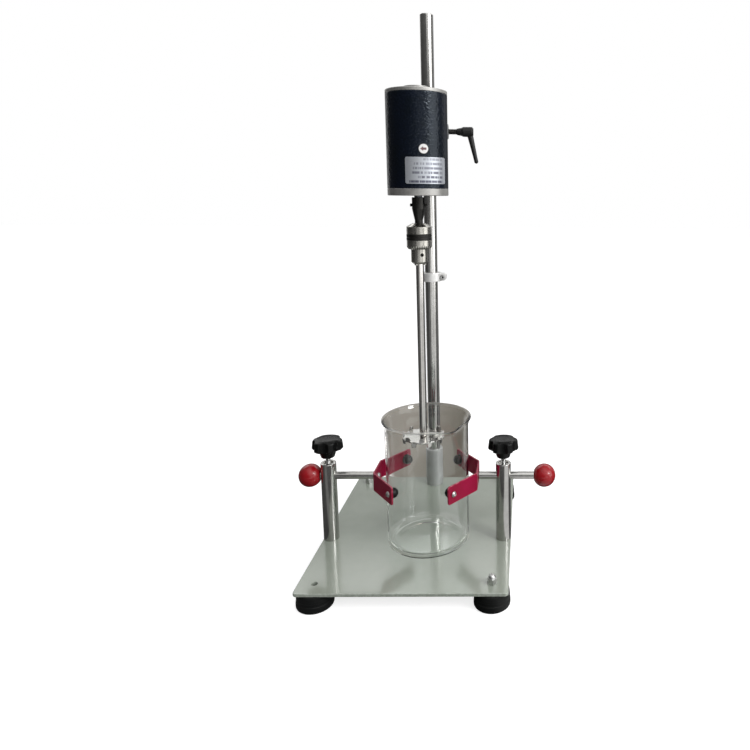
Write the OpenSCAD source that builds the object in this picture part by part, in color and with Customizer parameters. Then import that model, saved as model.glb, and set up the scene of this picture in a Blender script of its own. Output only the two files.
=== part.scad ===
// Laboratory high-speed disperser: a motor head on a column over a base plate
// that carries a clamped glass beaker. The frame's origin lies on the bench,
// in line with the beaker's axis from left to right and under the plate's middle
// from front to back. +X is to the right, +Y to the back, +Z up. Millimetres.

/* [Base plate] */
// Width of the plate from left to right
plate_w = 250; // [240:2:300]
// Depth of the plate from front to back
plate_d = 304; // [280:2:360]
// Thickness of the plate
plate_t = 4; // [3:0.5:8]
// Corner radius of the plate
plate_corner_r = 5; // [1:0.5:12]
// Distance of the beaker's axis to the right of the plate's middle
vessel_offset = 15; // [8:1:20]
// Distance of the beaker's axis in front of the plate's middle
vessel_forward = 31.5; // [20:0.5:45]

/* [Levelling feet] */
// Height of the plate's underside above the bench
foot_h = 22; // [16:1:35]
// Diameter of a foot where it stands
foot_d = 44; // [36:1:52]
// Diameter of a foot at its top
foot_top_d = 41; // [30:1:42]
// Distance of each foot's axis from the plate's two edges
foot_inset = 20; // [16:1:30]
// Diameter of a foot's stud
stud_d = 6; // [5:0.5:8]
// Width across flats of a cap nut
cap_nut_af = 10; // [9.5:0.5:14]
// Height of a cap nut
cap_nut_h = 12; // [10:0.5:16]

/* [Posts and clamp rods] */
// Diameter of a post
post_d = 20; // [18:1:26]
// Height of a post above the plate
post_h = 107; // [80:1:130]
// Distance between the two posts' axes
post_spacing = 230; // [216:2:240]
// Diameter of the cup in a post's top
post_cup_d = 13; // [10:0.5:14]
// Depth of the cup in a post's top
post_cup_t = 4; // [2:0.5:6]
// Diameter of a clamp rod
rod_d = 10; // [8:0.5:12]
// Distance of a rod's axis below its post's top
rod_drop = 18; // [14:0.5:24]
// Diameter of a ball knob
ball_d = 30; // [26:1:36]
// Diameter of the threaded end of a rod inside its ball
ball_thread_d = 8; // [6:0.5:8]
// Length of the threaded end of a rod inside its ball
ball_thread_l = 14; // [8:1:16]
// Diameter of a lock screw
lock_d = 6; // [5:0.5:8]

/* [Star knobs] */
// Diameter over a star knob's lobes
knob_d = 40; // [34:1:46]
// Height of a star knob
knob_h = 26; // [22:1:32]
// Height of a star knob's lobed part
knob_lobe_h = 15; // [11:1:18]
// Diameter of a star knob's hub at its foot
knob_hub_d = 17; // [13:1:20]
// Number of lobes on a star knob
knob_lobes = 6; // [5:1:8]
// Length of lock screw that shows under a star knob
knob_lift = 8; // [5:0.5:14]

/* [Beaker brackets] */
// Thickness of a bracket's sheet
strip_t = 2; // [1.5:0.5:3]
// Height of a bracket's sheet
strip_h = 24; // [18:1:30]
// Width of a bracket's flat middle between its two folds
strip_web = 38; // [30:1:44]
// Length of each bracket arm
arm_l = 52; // [48:1:60]
// Angle of each bracket arm to the rod's axis
arm_a = 52; // [45:1:58]
// Place of a bumper along its arm from the fold
bumper_at = 43; // [36:1:43]
// Diameter of a rubber bumper
bumper_d = 13; // [10:0.5:16]
// Length of a rubber bumper from the sheet to its tip
bumper_l = 11; // [9:0.5:14]
// Diameter of the bracket screws
bracket_screw_d = 5; // [4:0.5:5]

/* [Beaker] */
// Outside diameter of the beaker's wall
beaker_d = 108; // [104:1:116]
// Outside diameter of the beaker's rim
beaker_rim_d = 116; // [112:1:124]
// Height of the beaker
beaker_h = 170; // [150:1:184]
// Thickness of the beaker's wall
glass_t = 2.5; // [1.5:0.1:3]
// Radius of the beaker's lower edge
beaker_edge_r = 11; // [6:1:14]
// Height of the flare under the beaker's rim
flare_h = 7; // [4:0.5:10]
// Reach of the spout's tip from the beaker's axis
spout_reach = 63; // [60:0.5:68]
// Direction of the spout, from the right towards the back
spout_a = -52; // [-180:1:180]

/* [Column] */
// Diameter of the column
column_d = 19; // [16:1:24]
// Length of the column above the plate
column_l = 710; // [680:2:820]
// Distance of the column's axis from the plate's rear edge
column_inset = 18; // [17:1:30]
// Diameter of the column's socket
socket_d = 27; // [25:1:34]
// Height of the column's socket
socket_h = 58; // [30:2:80]
// Diameter of the screws under the plate
plate_screw_d = 8; // [6:0.5:8]

/* [Stop collar] */
// Diameter of the stop collar
collar_d = 32; // [30:1:40]
// Height of the stop collar
collar_h = 13; // [10:1:20]
// Height of the stop collar's middle above the plate
collar_z = 332; // [230:2:350]
// Reach of the stop collar's ear from the column's axis
ear_reach = 23; // [22:0.5:28]
// Width of the stop collar's slit
slit_w = 2; // [1:0.5:3]
// Diameter of the stop collar's screw
collar_screw_d = 4; // [3:0.5:4]

/* [Head clamp] */
// Height of the clamp lever's axis above the plate
head_z = 547; // [500:1:580]
// Distance of the spindle to the left of the beaker's axis
spindle_left = 4.5; // [0:0.5:8]
// Distance of the spindle behind the beaker's axis
spindle_back = 1.5; // [0:0.5:6]
// Diameter of the clamp's boss round the column
boss_d = 44; // [38:1:46]
// Height of the clamp's boss
boss_h = 66; // [50:2:80]
// Wall of the bush between the boss and the column
bush_t = 3; // [2:0.5:4]
// Width of the arm between the boss and the motor
bar_w = 30; // [24:1:38]
// Height of the arm between the boss and the motor
bar_h = 46; // [36:2:56]
// Thickness of the saddle behind the motor
saddle_t = 7; // [5:0.5:9]
// Height of the saddle behind the motor
saddle_h = 72; // [60:2:84]
// Distance of the saddle's middle below the lever's axis
saddle_low = 20; // [16:1:28]
// Length of the lug that takes the lever's stud, from the column's axis
lug_l = 29; // [27:0.5:34]
// Diameter of the lug that takes the lever's stud
lug_d = 22; // [18:1:28]
// Diameter of the screws through the saddle
saddle_screw_d = 5; // [4:0.5:6]

/* [Clamp lever] */
// Diameter of the lever's stud
lever_stud_d = 8; // [6:0.5:8]
// Length of stud that shows between the lug and the lever
lever_gap = 14; // [6:0.5:18]
// Diameter of the lever's hub
lever_hub_d = 14; // [13:0.5:18]
// Length of the lever's hub
lever_hub_l = 25; // [20:0.5:32]
// Length of the lever's arm from the hub's axis
lever_arm_l = 46; // [40:1:66]
// Lean of the lever's arm away from the column
lever_lean = 7; // [0:1:15]

/* [Motor] */
// Diameter of the motor
motor_d = 74; // [70:1:84]
// Height of the motor's black shell
shell_h = 112; // [100:1:130]
// Distance of the shell's upper edge above the lever's axis
shell_rise = 28; // [22:1:44]
// Wall of the motor's shell
shell_t = 3; // [2:0.5:4]
// Height of the lower end cap
low_cap_h = 8.5; // [8.5:0.5:16]
// Height of the upper end cap's rim
top_cap_h = 4; // [3:0.5:8]
// Rise of the upper end cap's cone above its rim
top_cone_h = 3; // [2:0.5:8]
// Diameter of the upper end cap's boss
top_boss_d = 31; // [30:1:40]
// Height of the upper end cap's boss above its cone
top_boss_h = 2; // [2:0.5:6]
// Diameter of the motor's shaft
motor_shaft_d = 10; // [8:0.5:11]
// Width of the nameplate round the shell
plate_arc = 82; // [50:1:90]
// Height of the nameplate
nameplate_h = 31; // [24:1:40]
// Diameter of the rotation mark
mark_d = 12.5; // [10:0.5:18]

/* [Chuck adapter] */
// Gap between the lower end cap and the adapter
adapter_gap = 2; // [1:0.5:4]
// Diameter of the adapter
adapter_d = 15.5; // [15:0.5:20]
// Length of the adapter's straight part
adapter_l = 20; // [18:0.5:28]
// Length of the adapter's taper
adapter_taper_l = 8.5; // [6:0.5:14]
// Diameter of the adapter's neck
neck_d = 10; // [9:0.2:12]
// Length of the adapter's neck above the chuck
neck_l = 3.5; // [2:0.5:10]

/* [Chuck] */
// Diameter of the chuck
chuck_d = 31; // [30:0.5:38]
// Height of the chuck's fixed shoulder
shoulder_h = 9; // [8:0.5:14]
// Height of the cone on the chuck's shoulder
shoulder_cone_h = 4; // [2:0.5:6]
// Height of the chuck's sleeve
sleeve_h = 18.5; // [17:0.5:24]
// Height of the black ring on the chuck's sleeve
ring_h = 7.5; // [5:0.5:9]
// Diameter of the chuck's nose
nose_d = 21; // [20.5:0.5:23]
// Length of the chuck's nose below the sleeve
nose_l = 18.5; // [17:0.5:24]
// Diameter of a chuck jaw
jaw_d = 4.4; // [4:0.2:4.6]
// Length of a chuck jaw
jaw_l = 22; // [18:0.5:24]
// Slant of the chuck's jaws
jaw_a = 6; // [4:0.5:6.5]

/* [Stirrer] */
// Diameter of the stirrer's shaft
shaft_d = 10; // [8:0.5:10]
// Distance from the chuck's nose to the disc
shaft_reach = 228; // [180:1:240]
// Length of the stirrer's shaft held in the chuck
shaft_grip = 36; // [28:1:36]
// Diameter of the toothed disc
disc_d = 54; // [40:1:60]
// Thickness of the toothed disc
disc_t = 1.6; // [1:0.2:3]
// Height of each tooth above or below the disc
tooth_h = 7; // [4:0.5:9]
// Number of teeth on the disc
teeth = 16; // [8:2:24]
// Diameter of the shaft's thread below the disc
disc_thread_d = 6; // [5:0.5:7]
// Width across flats of the nut below the disc
disc_nut_af = 13; // [11:0.5:17]
// Height of the nut below the disc
disc_nut_h = 9; // [6:0.5:12]

/* [Fits] */
// Radial clearance of running and sliding fits
run_gap = 0.05; // [0.03:0.01:0.08]
// Radial clearance of fixed fits
fix_gap = 0.02; // [0.01:0.01:0.04]
// Distance between faces that pass each other
face_gap = 0.3; // [0.2:0.05:0.5]

/* [Hidden] */
$fn = 64;
over = 1;

// Places of the base
plate_x = -vessel_offset;
vessel_y = -vessel_forward;
plate_top = foot_h + plate_t;
column_x = plate_x;
column_y = plate_d / 2 - column_inset;
column_top = plate_top + column_l;
foot_dx = plate_w / 2 - foot_inset;
foot_dy = plate_d / 2 - foot_inset;
foot_edge = 2.5;
foot_wall = 6;
stud_root = 6;
stud_short = 1.5;
stud_rise = cap_nut_h * 0.6;
cap_nut_step = 0.5;
plate_screw_l = 16;
plate_screw_head = 1.9;
plate_screw_cone = plate_t - 1;

// Places of the posts, rods and knobs
post_top = plate_top + post_h;
rod_z = post_top - rod_drop;
ball_r = ball_d / 2;
ball_seat_step = 1.5;
ball_seat_r = rod_d / 2 + ball_seat_step;
ball_flat = sqrt(ball_r * ball_r - ball_seat_r * ball_seat_r);
ball_gap = 0.6;
ball_room = 1;
rod_shoulder = post_spacing / 2 + vessel_offset + post_d / 2 + ball_gap;
ball_x = rod_shoulder + ball_flat;
lock_tip = rod_z + rod_d / 2 + face_gap;
knob_z = post_top + knob_lift;
lock_bite = knob_h * 0.55;
knob_scallop_r = knob_d * 0.2;
knob_dome = 3;
knob_edge = 1.5;
knob_hub_flare = 3;
knob_scallop_out = 0.45;
post_edge = 0.8;

// Places on the brackets: the bumper's round tip meets the beaker's wall
bumper_r = bumper_d / 2;
tip_h = strip_t / 2 + bumper_l - bumper_r;
tip_reach = beaker_d / 2 + bumper_r + face_gap;
tip_y = -strip_web / 2 - bumper_at * sin(arm_a) + tip_h * cos(arm_a);
tip_x = -sqrt(tip_reach * tip_reach - tip_y * tip_y);
web_x = bumper_at * cos(arm_a) + tip_h * sin(arm_a) - tip_x;
rod_inner = web_x + strip_t / 2;
bracket_screw_l = 12;
screw_head_k = 1.8;
screw_head_h = bracket_screw_d * 0.55;
bumper_screw_l = strip_t + bumper_l * 0.5;

// Places on the beaker
beaker_r = beaker_d / 2;
rim_r = beaker_rim_d / 2;
beaker_floor = glass_t + 1;
beaker_inner_r = beaker_r - glass_t;
spout_tip_r = 11;
spout_h = 18;

// Places of the head: it is turned round the column until the spindle is over the beaker
head_dx = vessel_offset - spindle_left;
head_dy = column_y - vessel_y - spindle_back;
head_reach = sqrt(head_dx * head_dx + head_dy * head_dy);
head_turn = atan2(head_dx, head_dy);
lever_z = plate_top + head_z;
boss_z = lever_z - boss_h / 2;
bush_r = column_d / 2 + run_gap + bush_t;
motor_r = motor_d / 2;
shell_top = lever_z + shell_rise;
shell_z = shell_top - shell_h;
shell_in_r = motor_r - shell_t;
low_cap_z = shell_z - low_cap_h;
saddle_cut = motor_r * 0.85;
saddle_screw_a = 31;
saddle_z = lever_z - saddle_low;
bar_z = lever_z - saddle_low / 2;
saddle_screw_inset = 9;
saddle_screw_dz = saddle_h / 2 - saddle_screw_inset;
saddle_screw_l = saddle_t + shell_t;
lever_hub_x = lug_l + lever_gap;
lever_neck_l = 8;
lever_neck_step = 3.5;
lever_neck_d = lever_hub_d - lever_neck_step;
lever_tip_w = 6;
lever_root_w = 9;
lever_edge = 2;
label_t = 0.4;
nameplate_a = 24;
nameplate_rise = 5.5;
nameplate_z = shell_z + nameplate_rise;
mark_a = 17;
mark_rise = 46;
mark_z = shell_z + mark_rise;

// Places inside the motor
spigot_h = 5;
bearing_h = 9;
bearing_lip = 4;
low_bearing_r = 16;
top_bearing_r = 14;
low_bearing_z = low_cap_z + bearing_lip;
top_bearing_drop = 3;
top_bearing_z = shell_top - top_bearing_drop;
shaft_r = motor_shaft_d / 2;
shaft_room = 2;
shaft_step = 1;
top_shaft_r = shaft_r - shaft_step;
top_spigot_h = 11;
cap_spigot_z = shell_top - top_spigot_h;
brush_plate_t = 3;
brush_plate_z = cap_spigot_z - brush_plate_t;
commutator_r = 14;
commutator_h = 12;
commutator_room = 1;
commutator_z = brush_plate_z - commutator_room - commutator_h;
fan_rise = 8;
fan_z = shell_z + fan_rise;
fan_h = 8;
fan_room = 8;
fan_r = shell_in_r - fan_room;
fan_blades = 8;
fan_hub_wall = 4;
winding_h = 9;
winding_room = 2;
fan_clear = 5;
armature_z = fan_z + fan_h + fan_clear + winding_h;
armature_h = commutator_z - winding_room - winding_h - armature_z;
armature_slots = 12;
magnet_t = 5;
magnet_a = 110;
magnet_over = 6;
magnet_z = armature_z - magnet_over;
magnet_h = armature_h + 2 * magnet_over;
air_gap = 1;
armature_r = shell_in_r - magnet_t - air_gap;
winding_step = 4;
winding_r = armature_r - winding_step;
brush_w = 6;
brush_h = 8;
brush_l = 13;
holder_wall = 2;
holder_room = 4;
holder_l = brush_l + holder_room;
holder_gap = 2;
holder_mid_z = commutator_z + commutator_h / 2;
tie_d = 4;
tie_gap = 0.6;
tie_r = shell_in_r - tie_d / 2 - tie_gap;
tie_head_d = 7;
tie_head_h = 3;

// Places of the spindle below the motor
adapter_top = low_cap_z - adapter_gap;
adapter_low = adapter_top - adapter_l;
taper_low = adapter_low - adapter_taper_l;
chuck_top = taper_low - neck_l;
shoulder_z = chuck_top - shoulder_h - shoulder_cone_h;
sleeve_top = shoulder_z - face_gap;
sleeve_z = sleeve_top - sleeve_h;
nose_z = sleeve_z - nose_l;
nose_edge = 2.4;
nose_r = nose_d / 2;
chuck_r = chuck_d / 2;
arbor_l = 10;
neck_rim = 3;
shaft_socket = 3;
adapter_slots = 6;
adapter_slot_w = 2.6;
adapter_slot_h = 8;
adapter_slot_t = 1.2;
set_screw_d = 4;
set_screw_out = 2.6;
set_screw_drop = 9.5;
set_screw_z = adapter_top - set_screw_drop;
jaw_r = jaw_d / 2;
jaw_axis_out = 1.4;
jaw_axis_r = shaft_d / 2 + jaw_axis_out;
jaw_tip = 1.5;
jaw_travel = 3;
jaw_bore_room = 3;
jaw_bore_l = jaw_l + jaw_travel + jaw_bore_room;
jaw_room = jaw_axis_r + (jaw_l + jaw_travel) * sin(jaw_a) + jaw_r * cos(jaw_a) + face_gap;
jaw_room_h = (jaw_l + jaw_travel) * cos(jaw_a) + jaw_r * sin(jaw_a) - nose_l + face_gap;
jaw_turn = -7;
grip_gap = 0.1;
key_hole_d = 4.5;
key_hole_root = 1.5;
key_hole_z = nose_z + nose_l * 0.62;
ring_t = 1.2;
ring_proud = 0.2;

// Places of the stirrer
shaft_top = nose_z + shaft_grip;
disc_z = nose_z - shaft_reach;
disc_r = disc_d / 2;
tooth_w = disc_d * PI / teeth * 0.72;
tooth_turn = 18;
washer_h = 1.2;
nut_dome = 2;
thread_low = disc_z - disc_nut_h + nut_dome;

// Places of the stop collar
collar_mid = plate_top + collar_z;
collar_low = collar_mid - collar_h / 2;
ear_w = 13;
ear_step = 1;
ear_h = collar_h - 2 * ear_step;
collar_screw_inset = 5;
collar_screw_x = ear_reach - collar_screw_inset;
collar_screw_l = ear_w - 2 * ear_step;
collar_head_d = collar_screw_d * 1.75;

// Shared shapes

module drill(z, h, r) {
    translate([0, 0, z - over]) cylinder(h = h + over, r = r);
}

module drill_through(z, h, r) {
    translate([0, 0, z - over]) cylinder(h = h + 2 * over, r = r);
}

module ring(z, h, r_out, r_in) {
    difference() {
        translate([0, 0, z]) cylinder(h = h, r = r_out);
        drill_through(z, h, r_in);
    }
}

module turned(points) {
    rotate_extrude() polygon(points);
}

module rounded_rect(w, d, r) {
    square([w - 2 * r, d], center = true);
    square([w, d - 2 * r], center = true);
    for (x = [-1, 1], y = [-1, 1])
        translate([x * (w / 2 - r), y * (d / 2 - r)]) circle(r = r);
}

module hexagon(z, h, af) {
    translate([0, 0, z]) cylinder(h = h, r = af / 2 / cos(30), $fn = 6);
}

module pan_screw(d, l) {
    rotate([180, 0, 0]) cylinder(h = l, r = d / 2);
    head_r = d * screw_head_k / 2;
    turned([[0, 0], [head_r, 0], [head_r, screw_head_h / 2],
        [head_r * 0.6, screw_head_h], [0, screw_head_h]]);
}

module at_feet() {
    for (x = [-1, 1], y = [-1, 1]) translate([plate_x + x * foot_dx, y * foot_dy, 0]) children();
}

module at_plate_screws() {
    for (x = [-1, 1]) translate([plate_x + x * post_spacing / 2, vessel_y, 0]) children();
    translate([column_x, column_y, 0]) children();
}

module at_vessel(z) {
    translate([0, vessel_y, z]) children();
}

module at_right() {
    mirror([1, 0, 0]) children();
}

module at_column() {
    translate([column_x, column_y, 0]) rotate([0, 0, head_turn]) children();
}

module at_spindle() {
    at_column() translate([0, -head_reach, 0]) children();
}

// Places children on both arms of the left bracket, with +Z towards the beaker
module at_bumpers() {
    for (s = [-1, 1])
        translate([-web_x + bumper_at * cos(arm_a), s * (strip_web / 2 + bumper_at * sin(arm_a)), 0])
            rotate([0, 90, -s * (90 - arm_a)]) children();
}

// Base plate, feet and their nuts

module base_plate() {
    color("lightgray") difference() {
        translate([plate_x, 0, foot_h]) linear_extrude(plate_t)
            rounded_rect(plate_w, plate_d, plate_corner_r);
        at_feet() drill_through(foot_h, plate_t, stud_d / 2 + run_gap);
        at_plate_screws() {
            drill_through(foot_h, plate_t, plate_screw_d / 2 + fix_gap);
            translate([0, 0, foot_h - fix_gap]) screw_cone(fix_gap);
        }
    }
}

module screw_cone(grow) {
    screw_r = plate_screw_d / 2;
    cylinder(h = plate_screw_cone, r1 = screw_r * plate_screw_head + grow, r2 = screw_r + grow);
}

module foot(side_x, side_y, stud_top) {
    foot_top = foot_h - face_gap;
    foot_r = foot_d / 2;
    foot_top_r = foot_top_d / 2;
    translate([plate_x + side_x * foot_dx, side_y * foot_dy, 0]) {
        color("black") difference() {
            turned([[0, 0], [foot_r - foot_edge, 0], [foot_r, foot_edge], [foot_r, foot_wall],
                [foot_top_r, foot_top - foot_edge], [foot_top_r - foot_edge, foot_top], [0, foot_top]]);
            translate([0, 0, stud_root]) cylinder(h = foot_h, r = stud_d / 2 + fix_gap);
        }
        color("silver") translate([0, 0, stud_root + fix_gap])
            cylinder(h = stud_top - stud_root - fix_gap, r = stud_d / 2);
    }
}

// The front left stud ends just under the plate's face and carries no nut
module foot_front_left() {
    foot(-1, -1, plate_top - stud_short);
}

module foot_front_right() {
    foot(1, -1, plate_top + stud_rise);
}

module foot_rear_left() {
    foot(-1, 1, plate_top + stud_rise);
}

module foot_rear_right() {
    foot(1, 1, plate_top + stud_rise);
}

module cap_nuts() {
    dome_r = cap_nut_af / 2 - cap_nut_step;
    hex_h = cap_nut_h - dome_r;
    color("silver") for (p = [[1, -1], [-1, 1], [1, 1]])
        translate([plate_x + p[0] * foot_dx, p[1] * foot_dy, plate_top]) difference() {
            union() {
                hexagon(0, hex_h, cap_nut_af);
                translate([0, 0, hex_h]) difference() {
                    sphere(r = dome_r);
                    translate([0, 0, -2 * dome_r]) cylinder(h = 2 * dome_r, r = 2 * dome_r);
                }
            }
            drill(0, stud_rise + face_gap, stud_d / 2 + run_gap);
        }
}

module plate_screws() {
    color("gray") at_plate_screws() translate([0, 0, foot_h]) {
        screw_cone(0);
        cylinder(h = plate_t + plate_screw_l, r = plate_screw_d / 2);
    }
}

// Posts

module post(side) {
    post_r = post_d / 2;
    color("silver") translate([plate_x + side * post_spacing / 2, vessel_y, 0]) difference() {
        translate([0, 0, plate_top]) turned([[0, 0], [post_r, 0], [post_r, post_h - post_edge],
            [post_r - post_edge, post_h], [0, post_h]]);
        translate([0, 0, plate_top - over])
            cylinder(h = plate_screw_l + 2 * over, r = plate_screw_d / 2 + fix_gap);
        translate([-post_d, 0, rod_z]) rotate([0, 90, 0]) cylinder(h = 2 * post_d, r = rod_d / 2 + run_gap);
        translate([0, 0, rod_z]) cylinder(h = rod_drop + over, r = lock_d / 2 + run_gap);
        translate([0, 0, post_top - post_cup_t]) cylinder(h = post_cup_t + over, r = post_cup_d / 2);
    }
}

module post_left() {
    post(-1);
}

module post_right() {
    post(1);
}

// Clamp rods with their knobs, brackets and bumpers; the right side mirrors the left

module clamp_rod() {
    color("silver") difference() {
        union() {
            translate([-rod_shoulder, 0, 0]) rotate([0, 90, 0])
                cylinder(h = rod_shoulder - rod_inner, r = rod_d / 2);
            translate([-rod_shoulder - ball_thread_l, 0, 0]) rotate([0, 90, 0])
                cylinder(h = ball_thread_l + over, r = ball_thread_d / 2);
        }
        translate([-rod_inner + over, 0, 0]) rotate([0, -90, 0])
            cylinder(h = bracket_screw_l + 2 * over, r = bracket_screw_d / 2 + fix_gap);
    }
}

module ball_knob() {
    bore_l = ball_thread_l + ball_room;
    color("red") translate([-ball_x, 0, 0]) rotate([0, 90, 0]) rotate_extrude() difference() {
        intersection() {
            circle(r = ball_r);
            translate([0, -ball_r]) square([ball_r, ball_r + ball_flat - fix_gap]);
        }
        translate([0, ball_flat - bore_l]) square([ball_thread_d / 2 + fix_gap, bore_l + over]);
    }
}

module bracket() {
    half = strip_t / 2;
    miter = half * tan((90 - arm_a) / 2);
    ax = cos(arm_a);
    ay = sin(arm_a);
    outer = [-web_x - half, strip_web / 2 + miter];
    inner = [-web_x + half, strip_web / 2 - miter];
    end = [-web_x + arm_l * ax, strip_web / 2 + arm_l * ay];
    end_outer = end + half * [-ay, ax];
    end_inner = end - half * [-ay, ax];
    upper = [outer, end_outer, end_inner, inner];
    lower = [for (i = [3:-1:0]) [upper[i][0], -upper[i][1]]];
    color("crimson") difference() {
        translate([0, 0, -strip_h / 2]) linear_extrude(strip_h) polygon(concat(upper, lower));
        translate([-web_x - strip_t, 0, 0]) rotate([0, 90, 0])
            cylinder(h = 2 * strip_t, r = bracket_screw_d / 2 + fix_gap);
        at_bumpers() translate([0, 0, -strip_t]) cylinder(h = 2 * strip_t, r = bracket_screw_d / 2 + fix_gap);
    }
}

module bracket_screws() {
    color("silver") {
        translate([-web_x + strip_t / 2, 0, 0]) rotate([0, 90, 0])
            pan_screw(bracket_screw_d, strip_t + bracket_screw_l);
        at_bumpers() translate([0, 0, -strip_t / 2]) rotate([180, 0, 0])
            pan_screw(bracket_screw_d, bumper_screw_l);
    }
}

module bumpers() {
    color("black") at_bumpers() difference() {
        translate([0, 0, strip_t / 2]) union() {
            cylinder(h = bumper_l - bumper_r, r = bumper_r);
            translate([0, 0, bumper_l - bumper_r]) sphere(r = bumper_r);
        }
        translate([0, 0, strip_t / 2 - bumper_d]) cylinder(h = bumper_d, r = bumper_d);
        drill(strip_t / 2, bumper_screw_l - strip_t + face_gap, bracket_screw_d / 2 + fix_gap);
    }
}

module rod_left() {
    at_vessel(rod_z) clamp_rod();
}

module rod_right() {
    at_vessel(rod_z) at_right() clamp_rod();
}

module ball_knob_left() {
    at_vessel(rod_z) ball_knob();
}

module ball_knob_right() {
    at_vessel(rod_z) at_right() ball_knob();
}

module bracket_left() {
    at_vessel(rod_z) bracket();
}

module bracket_right() {
    at_vessel(rod_z) at_right() bracket();
}

module bracket_screws_left() {
    at_vessel(rod_z) bracket_screws();
}

module bracket_screws_right() {
    at_vessel(rod_z) at_right() bracket_screws();
}

module bumpers_left() {
    at_vessel(rod_z) bumpers();
}

module bumpers_right() {
    at_vessel(rod_z) at_right() bumpers();
}

// Lock screws and star knobs

module lock_screw(side) {
    color("silver") translate([plate_x + side * post_spacing / 2, vessel_y, lock_tip])
        cylinder(h = knob_z + lock_bite - lock_tip, r = lock_d / 2);
}

module star_knob(side) {
    knob_r = knob_d / 2;
    lobe_z = knob_h - knob_lobe_h;
    color("black") translate([plate_x + side * post_spacing / 2, vessel_y, knob_z]) difference() {
        turned([[0, 0], [knob_hub_d / 2, 0], [knob_hub_d / 2 + knob_hub_flare, lobe_z - knob_edge],
            [knob_r - knob_edge, lobe_z], [knob_r, lobe_z + knob_edge],
            [knob_r - knob_edge, knob_h - knob_dome], [knob_r * 0.7, knob_h - knob_dome / 4],
            [knob_r * 0.35, knob_h], [0, knob_h]]);
        for (i = [0:knob_lobes - 1])
            rotate([0, 0, (i + 0.5) * 360 / knob_lobes])
                translate([knob_r + knob_scallop_r * knob_scallop_out, 0, -over])
                    cylinder(h = knob_h + 2 * over, r = knob_scallop_r);
        drill(0, lock_bite + face_gap, lock_d / 2 + run_gap);
    }
}

module lock_screw_left() {
    lock_screw(-1);
}

module lock_screw_right() {
    lock_screw(1);
}

module star_knob_left() {
    star_knob(-1);
}

module star_knob_right() {
    star_knob(1);
}

// Beaker: an outer and an inner form, each with the spout's cone

module beaker_form(r, low, edge_r, flare) {
    translate([0, 0, low]) {
        cylinder(h = beaker_h - low, r = r - edge_r);
        translate([0, 0, edge_r]) cylinder(h = beaker_h - low - edge_r, r = r);
        translate([0, 0, edge_r]) rotate_extrude() translate([r - edge_r, 0]) intersection() {
            circle(r = edge_r);
            translate([0, -edge_r]) square(edge_r);
        }
    }
    translate([0, 0, beaker_h - flare_h]) cylinder(h = flare_h, r1 = r, r2 = r + flare);
    tip = spout_reach - rim_r + r + flare - spout_tip_r;
    rotate([0, 0, spout_a]) translate([tip, 0, beaker_h - spout_h])
        cylinder(h = spout_h, r1 = 1, r2 = spout_tip_r);
}

module beaker() {
    flare = rim_r - beaker_r;
    color("lightblue", 0.4) at_vessel(plate_top) difference() {
        beaker_form(beaker_r, 0, beaker_edge_r, flare);
        beaker_form(beaker_inner_r, beaker_floor, beaker_edge_r - glass_t, flare);
        translate([0, 0, beaker_h - over / 100]) cylinder(h = over, r = 2 * rim_r);
    }
}

// Column and its fittings

module column() {
    column_r = column_d / 2;
    edge = 1;
    color("silver") translate([column_x, column_y, plate_top]) difference() {
        turned([[0, 0], [column_r, 0], [column_r, column_l - edge],
            [column_r - edge, column_l], [0, column_l]]);
        drill(0, plate_screw_l + over, plate_screw_d / 2 + fix_gap);
    }
}

module column_socket() {
    color("gray") translate([column_x, column_y, 0])
        ring(plate_top, socket_h, socket_d / 2, column_d / 2 + fix_gap);
}

module stop_collar() {
    color("silver") translate([column_x, column_y, 0]) difference() {
        union() {
            translate([0, 0, collar_low]) cylinder(h = collar_h, r = collar_d / 2);
            translate([0, -ear_w / 2, collar_mid - ear_h / 2]) cube([ear_reach, ear_w, ear_h]);
        }
        drill_through(collar_low, collar_h, column_d / 2 + run_gap);
        translate([0, -slit_w / 2, collar_low - over]) cube([ear_reach + over, slit_w, collar_h + 2 * over]);
        translate([collar_screw_x, ear_w, collar_mid]) rotate([90, 0, 0])
            cylinder(h = 2 * ear_w, r = collar_screw_d / 2 + fix_gap);
    }
}

module stop_collar_screw() {
    socket_r = collar_screw_d * 0.43;
    color("dimgray") translate([column_x + collar_screw_x, column_y - ear_w / 2, collar_mid])
        rotate([90, 0, 0]) difference() {
            union() {
                translate([0, 0, -collar_screw_l]) cylinder(h = collar_screw_l, r = collar_screw_d / 2);
                cylinder(h = collar_screw_d * 0.8, r = collar_head_d / 2);
            }
            translate([0, 0, collar_screw_d * 0.3]) cylinder(h = collar_screw_d, r = socket_r, $fn = 6);
        }
}

module column_bush() {
    color("goldenrod") translate([column_x, column_y, 0])
        ring(boss_z, boss_h, bush_r, column_d / 2 + run_gap);
}

// Head clamp: boss, arm and saddle in one casting

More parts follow.
